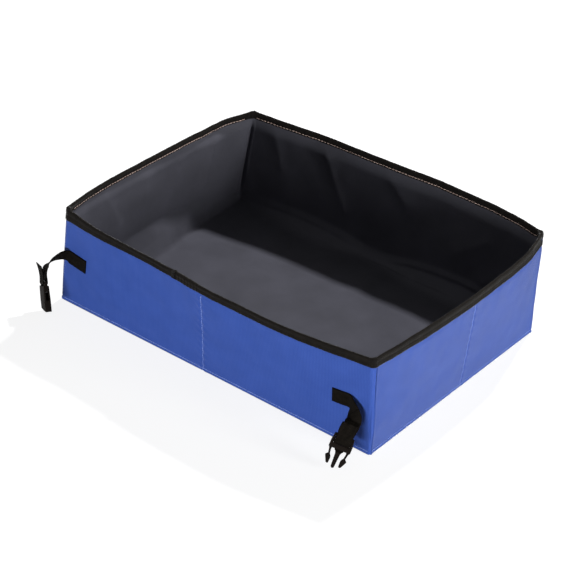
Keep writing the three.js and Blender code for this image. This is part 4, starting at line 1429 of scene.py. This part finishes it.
LOOP_RAIL_WIDTH = 0.0024
LOOP_RAIL_THICKNESS = 0.003
SOCKET_START = 0.0034
SOCKET_LENGTH = 0.0252
SOCKET_THICKNESS = 0.0064
SOCKET_WALL = 0.0012
WINDOW_START = 0.0055
WINDOW_LENGTH = 0.0095
WINDOW_HEIGHT = 0.0032
CORE_START = 0.0078
SOCKET_END_SLANT = 0.0018
SOCKET_SLANT_SHARE = 0.6
SOCKET_ROUNDING = 0.0008
SOCKET_LIP = 0.002
SOCKET_RIDGE_SHARE = 0.6
SOCKET_ROOT_SHARE = 0.86
SOCKET_CROWN_SHARE = 0.08
SOCKET_NARROWING_SHARE = 0.05
SOCKET_WIDEST_SHARE = 0.35
NARROWING_SHARES = (0.2, 0.6)
CORE_END_SHARE = 0.92
CORE_HALF_SHARE = 0.4
LOOP_OVERLAP = 0.0006
LOOP_ROUNDING = 0.0008


def socket_body():
    """A flat hollow box with side windows, open at its far end, whose faces swell a little."""
    half_wide, half_thick = BUCKLE_WIDTH / 2, SOCKET_THICKNESS / 2
    ridge = half_wide * SOCKET_RIDGE_SHARE
    window = SOCKET_START + WINDOW_START
    end = SOCKET_START + SOCKET_LENGTH
    lines = ((-half_wide, -ridge, 0, ridge, half_wide),
             (SOCKET_START, window, window + WINDOW_LENGTH, end - SOCKET_LIP, end),
             (-half_thick, -WINDOW_HEIGHT / 2, WINDOW_HEIGHT / 2, half_thick))
    bm = bmesh.new()
    bmesh.ops.create_cube(bm, size=2)
    for axis in range(3):
        cut_along(bm, axis, len(lines[axis]) - 2)
    for vert in bm.verts:
        for axis in range(3):
            vert.co[axis] = lines[axis][round((vert.co[axis] + 1) / 2 * (len(lines[axis]) - 1))]
    cut = []
    for face in bm.faces:
        centre = face.calc_center_median()
        at_end = abs(centre.y - end) < SAME_PLACE
        beside = abs(abs(centre.x) - half_wide) < SAME_PLACE
        in_window = window < centre.y < window + WINDOW_LENGTH and abs(centre.z) < WINDOW_HEIGHT / 2
        if at_end or (beside and in_window):
            cut.append(face)
    bmesh.ops.delete(bm, geom=cut, context="FACES")
    for vert in bm.verts:
        reach = (vert.co.y - SOCKET_START) / SOCKET_LENGTH
        crown = SOCKET_CROWN_SHARE * (1 - abs(vert.co.x) / half_wide)
        vert.co.z *= SOCKET_ROOT_SHARE + (1 - SOCKET_ROOT_SHARE) * min(2 * reach, 1) + crown
        vert.co.x *= 1 - SOCKET_NARROWING_SHARE * ease(abs(reach - SOCKET_WIDEST_SHARE), *NARROWING_SHARES)
        vert.co.y += SOCKET_END_SLANT * ease(reach, SOCKET_SLANT_SHARE, 1) * vert.co.x / half_wide
    bmesh.ops.solidify(bm, geom=bm.faces, thickness=SOCKET_WALL)
    bmesh.ops.recalc_face_normals(bm, faces=bm.faces)
    return rounded(bm, SOCKET_ROUNDING)


def make_socket():
    half = BUCKLE_WIDTH / 2
    bar = LOOP_BAR_DIAMETER / 2
    core_half = half * CORE_HALF_SHARE
    loop = plate((-half, -half + LOOP_RAIL_WIDTH, half - LOOP_RAIL_WIDTH, half),
                 (-bar, bar, SOCKET_START + LOOP_OVERLAP), {(1, 1)}, LOOP_RAIL_THICKNESS)
    core = plate((-core_half, core_half),
                 (SOCKET_START + CORE_START, SOCKET_START + SOCKET_LENGTH * CORE_END_SHARE),
                 set(), SOCKET_THICKNESS - SOCKET_WALL)
    parts = [socket_body(), rounded(loop, LOOP_ROUNDING), rounded(core)]
    moulding("socket_half", gathered(parts), SOCKET_FRAME, SOCKET_BAR, "buckle_socket")


PLUG_FRAME_THICKNESS = 0.0034
CROSS_BAR_START = 0.0027
RAIL_HUG = 0.0005
WING_TAPER = 0.9
WING_THINNING = 0.75
WING_EDGE = 0.001
END_BAR_ROUNDING = 0.0003
PLUG_FRAME_END = 0.0074
GUIDE_LENGTH = 0.0182
GUIDE_TIP_HALF = 0.0017
# Half width of the guide and its distance from the frame, from its flared root on
GUIDE_FLARE = (
    (0.0046, -0.0008), (0.004, 0.0002), (0.0031, 0.0009), (0.0027, 0.002), (0.0025, 0.0038), (0.0023, 0.006),
)
GUIDE_TIP_STEPS = 8
GUIDE_MARGIN = 0.0008
FACING_SHARE = 0.9
GUIDE_THICKNESS = 0.0026
GUIDE_GROOVE = 0.0011
PRONG_ROOT = 0.0088
PRONG_LENGTH = 0.0156
PRONG_STEM = 0.0018
PRONG_STEM_THICKNESS = 0.0022
PRONG_HEAD_THICKNESS = 0.0034
PRONG_TIP_SHIFT = 0.0024
STEM_ROUNDING = 0.0003
HEAD_ROUNDING = 0.0005
PRONG_GAP = 0.0001
# The stem's outline in halves of its width, the head's in metres, both with shares of the prong's length
STEM_SHARES = ((-2, -0.06), (2, -0.06), (1.2, 0.1), (1, 0.62), (-1, 0.62), (-1.1, 0.1))
HEAD_POINTS = (
    (-0.0008, 0.36), (0.0012, 0.4), (0.0034, 0.52), (0.003, 0.62), (0.0012, 0.97),
    (0, 1.0), (-0.0012, 0.97), (-0.0022, 0.64), (-0.0022, 0.54),
)


def guide_outline():
    """Wide and flared where it leaves the frame, slim along its length, round at the tip."""
    right = [(half, PLUG_FRAME_END + rise) for half, rise in GUIDE_FLARE]
    straight_end = PLUG_FRAME_END + GUIDE_LENGTH - GUIDE_TIP_HALF
    tip = [(GUIDE_TIP_HALF * math.cos(a), straight_end + GUIDE_TIP_HALF * math.sin(a))
           for a in (math.pi * step / GUIDE_TIP_STEPS for step in range(GUIDE_TIP_STEPS + 1))]
    left = [(-x, y) for x, y in reversed(right)]
    return right + tip + left


def make_guide():
    """The stiff middle tongue, with a shallow groove in both faces."""
    bm = outline(guide_outline(), GUIDE_THICKNESS)
    for facing in (1, -1):
        flat = [face for face in bm.faces if face.normal.z * facing > FACING_SHARE]
        bmesh.ops.inset_region(bm, faces=flat, thickness=GUIDE_MARGIN, depth=0)
        pushed = [face for face in bm.faces
                  if face.normal.z * facing > FACING_SHARE and len(face.verts) > 4]
        bmesh.ops.translate(bm, vec=(0, 0, -facing * GUIDE_GROOVE / 2),
                            verts=list({vert for face in pushed for vert in face.verts}))
    return bm


def make_plug():
    half = BUCKLE_WIDTH / 2
    rail = PLUG_RAIL_WIDTH + RAIL_HUG
    low = -MIDDLE_BAR_PLACE
    rails = plate((-half, -half + rail, half - rail, half), (low, 0, CROSS_BAR_START, PLUG_FRAME_END),
                  {(1, 0), (1, 1)}, PLUG_FRAME_THICKNESS)
    for vert in rails.verts:
        if vert.co.y < -WING_EDGE:
            vert.co.x *= WING_TAPER if abs(vert.co.x) > half - WING_EDGE else 1
            vert.co.z *= WING_THINNING
    end_bar = plate((-half + rail / 2, half - rail / 2), (low, low + END_BAR_LENGTH), set(),
                    END_BAR_THICKNESS, -NEAR * END_BAR_SETBACK)
    middle_bar = bar_across(MIDDLE_BAR_DIAMETER, BUCKLE_WIDTH - rail)
    parts = [rounded(rails), rounded(end_bar, END_BAR_ROUNDING), middle_bar, make_guide()]
    moulding("plug_half", gathered(parts), PLUG_FRAME, PLUG_BAR, "buckle_plug")


def make_prong(name, side):
    """A slim springy stem and an arrow head that points back in towards the guide."""
    def at(across, share):
        place = PRONG_ROOT - PRONG_TIP_SHIFT * share + across
        return side * place, PLUG_FRAME_END + PRONG_GAP + PRONG_LENGTH * share
    stem = outline([at(halves * PRONG_STEM / 2, share) for halves, share in STEM_SHARES],
                   PRONG_STEM_THICKNESS)
    head = outline([at(across, share) for across, share in HEAD_POINTS], PRONG_HEAD_THICKNESS)
    parts = [rounded(stem, STEM_ROUNDING), rounded(head, HEAD_ROUNDING)]
    moulding(f"plug_{name}", gathered(parts), PLUG_FRAME, PLUG_BAR, f"buckle_{name}")


make_socket()
make_plug()
make_prong("prong_left", -1)
make_prong("prong_right", 1)


# Carried-over solids take their own finishes


def finish_solid(node, material):
    solid = bpy.data.objects[node]
    solid.data.materials.clear()
    solid.data.materials.append(material)


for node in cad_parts:
    if node.startswith("board_"):
        finish_solid(node, BOARD)
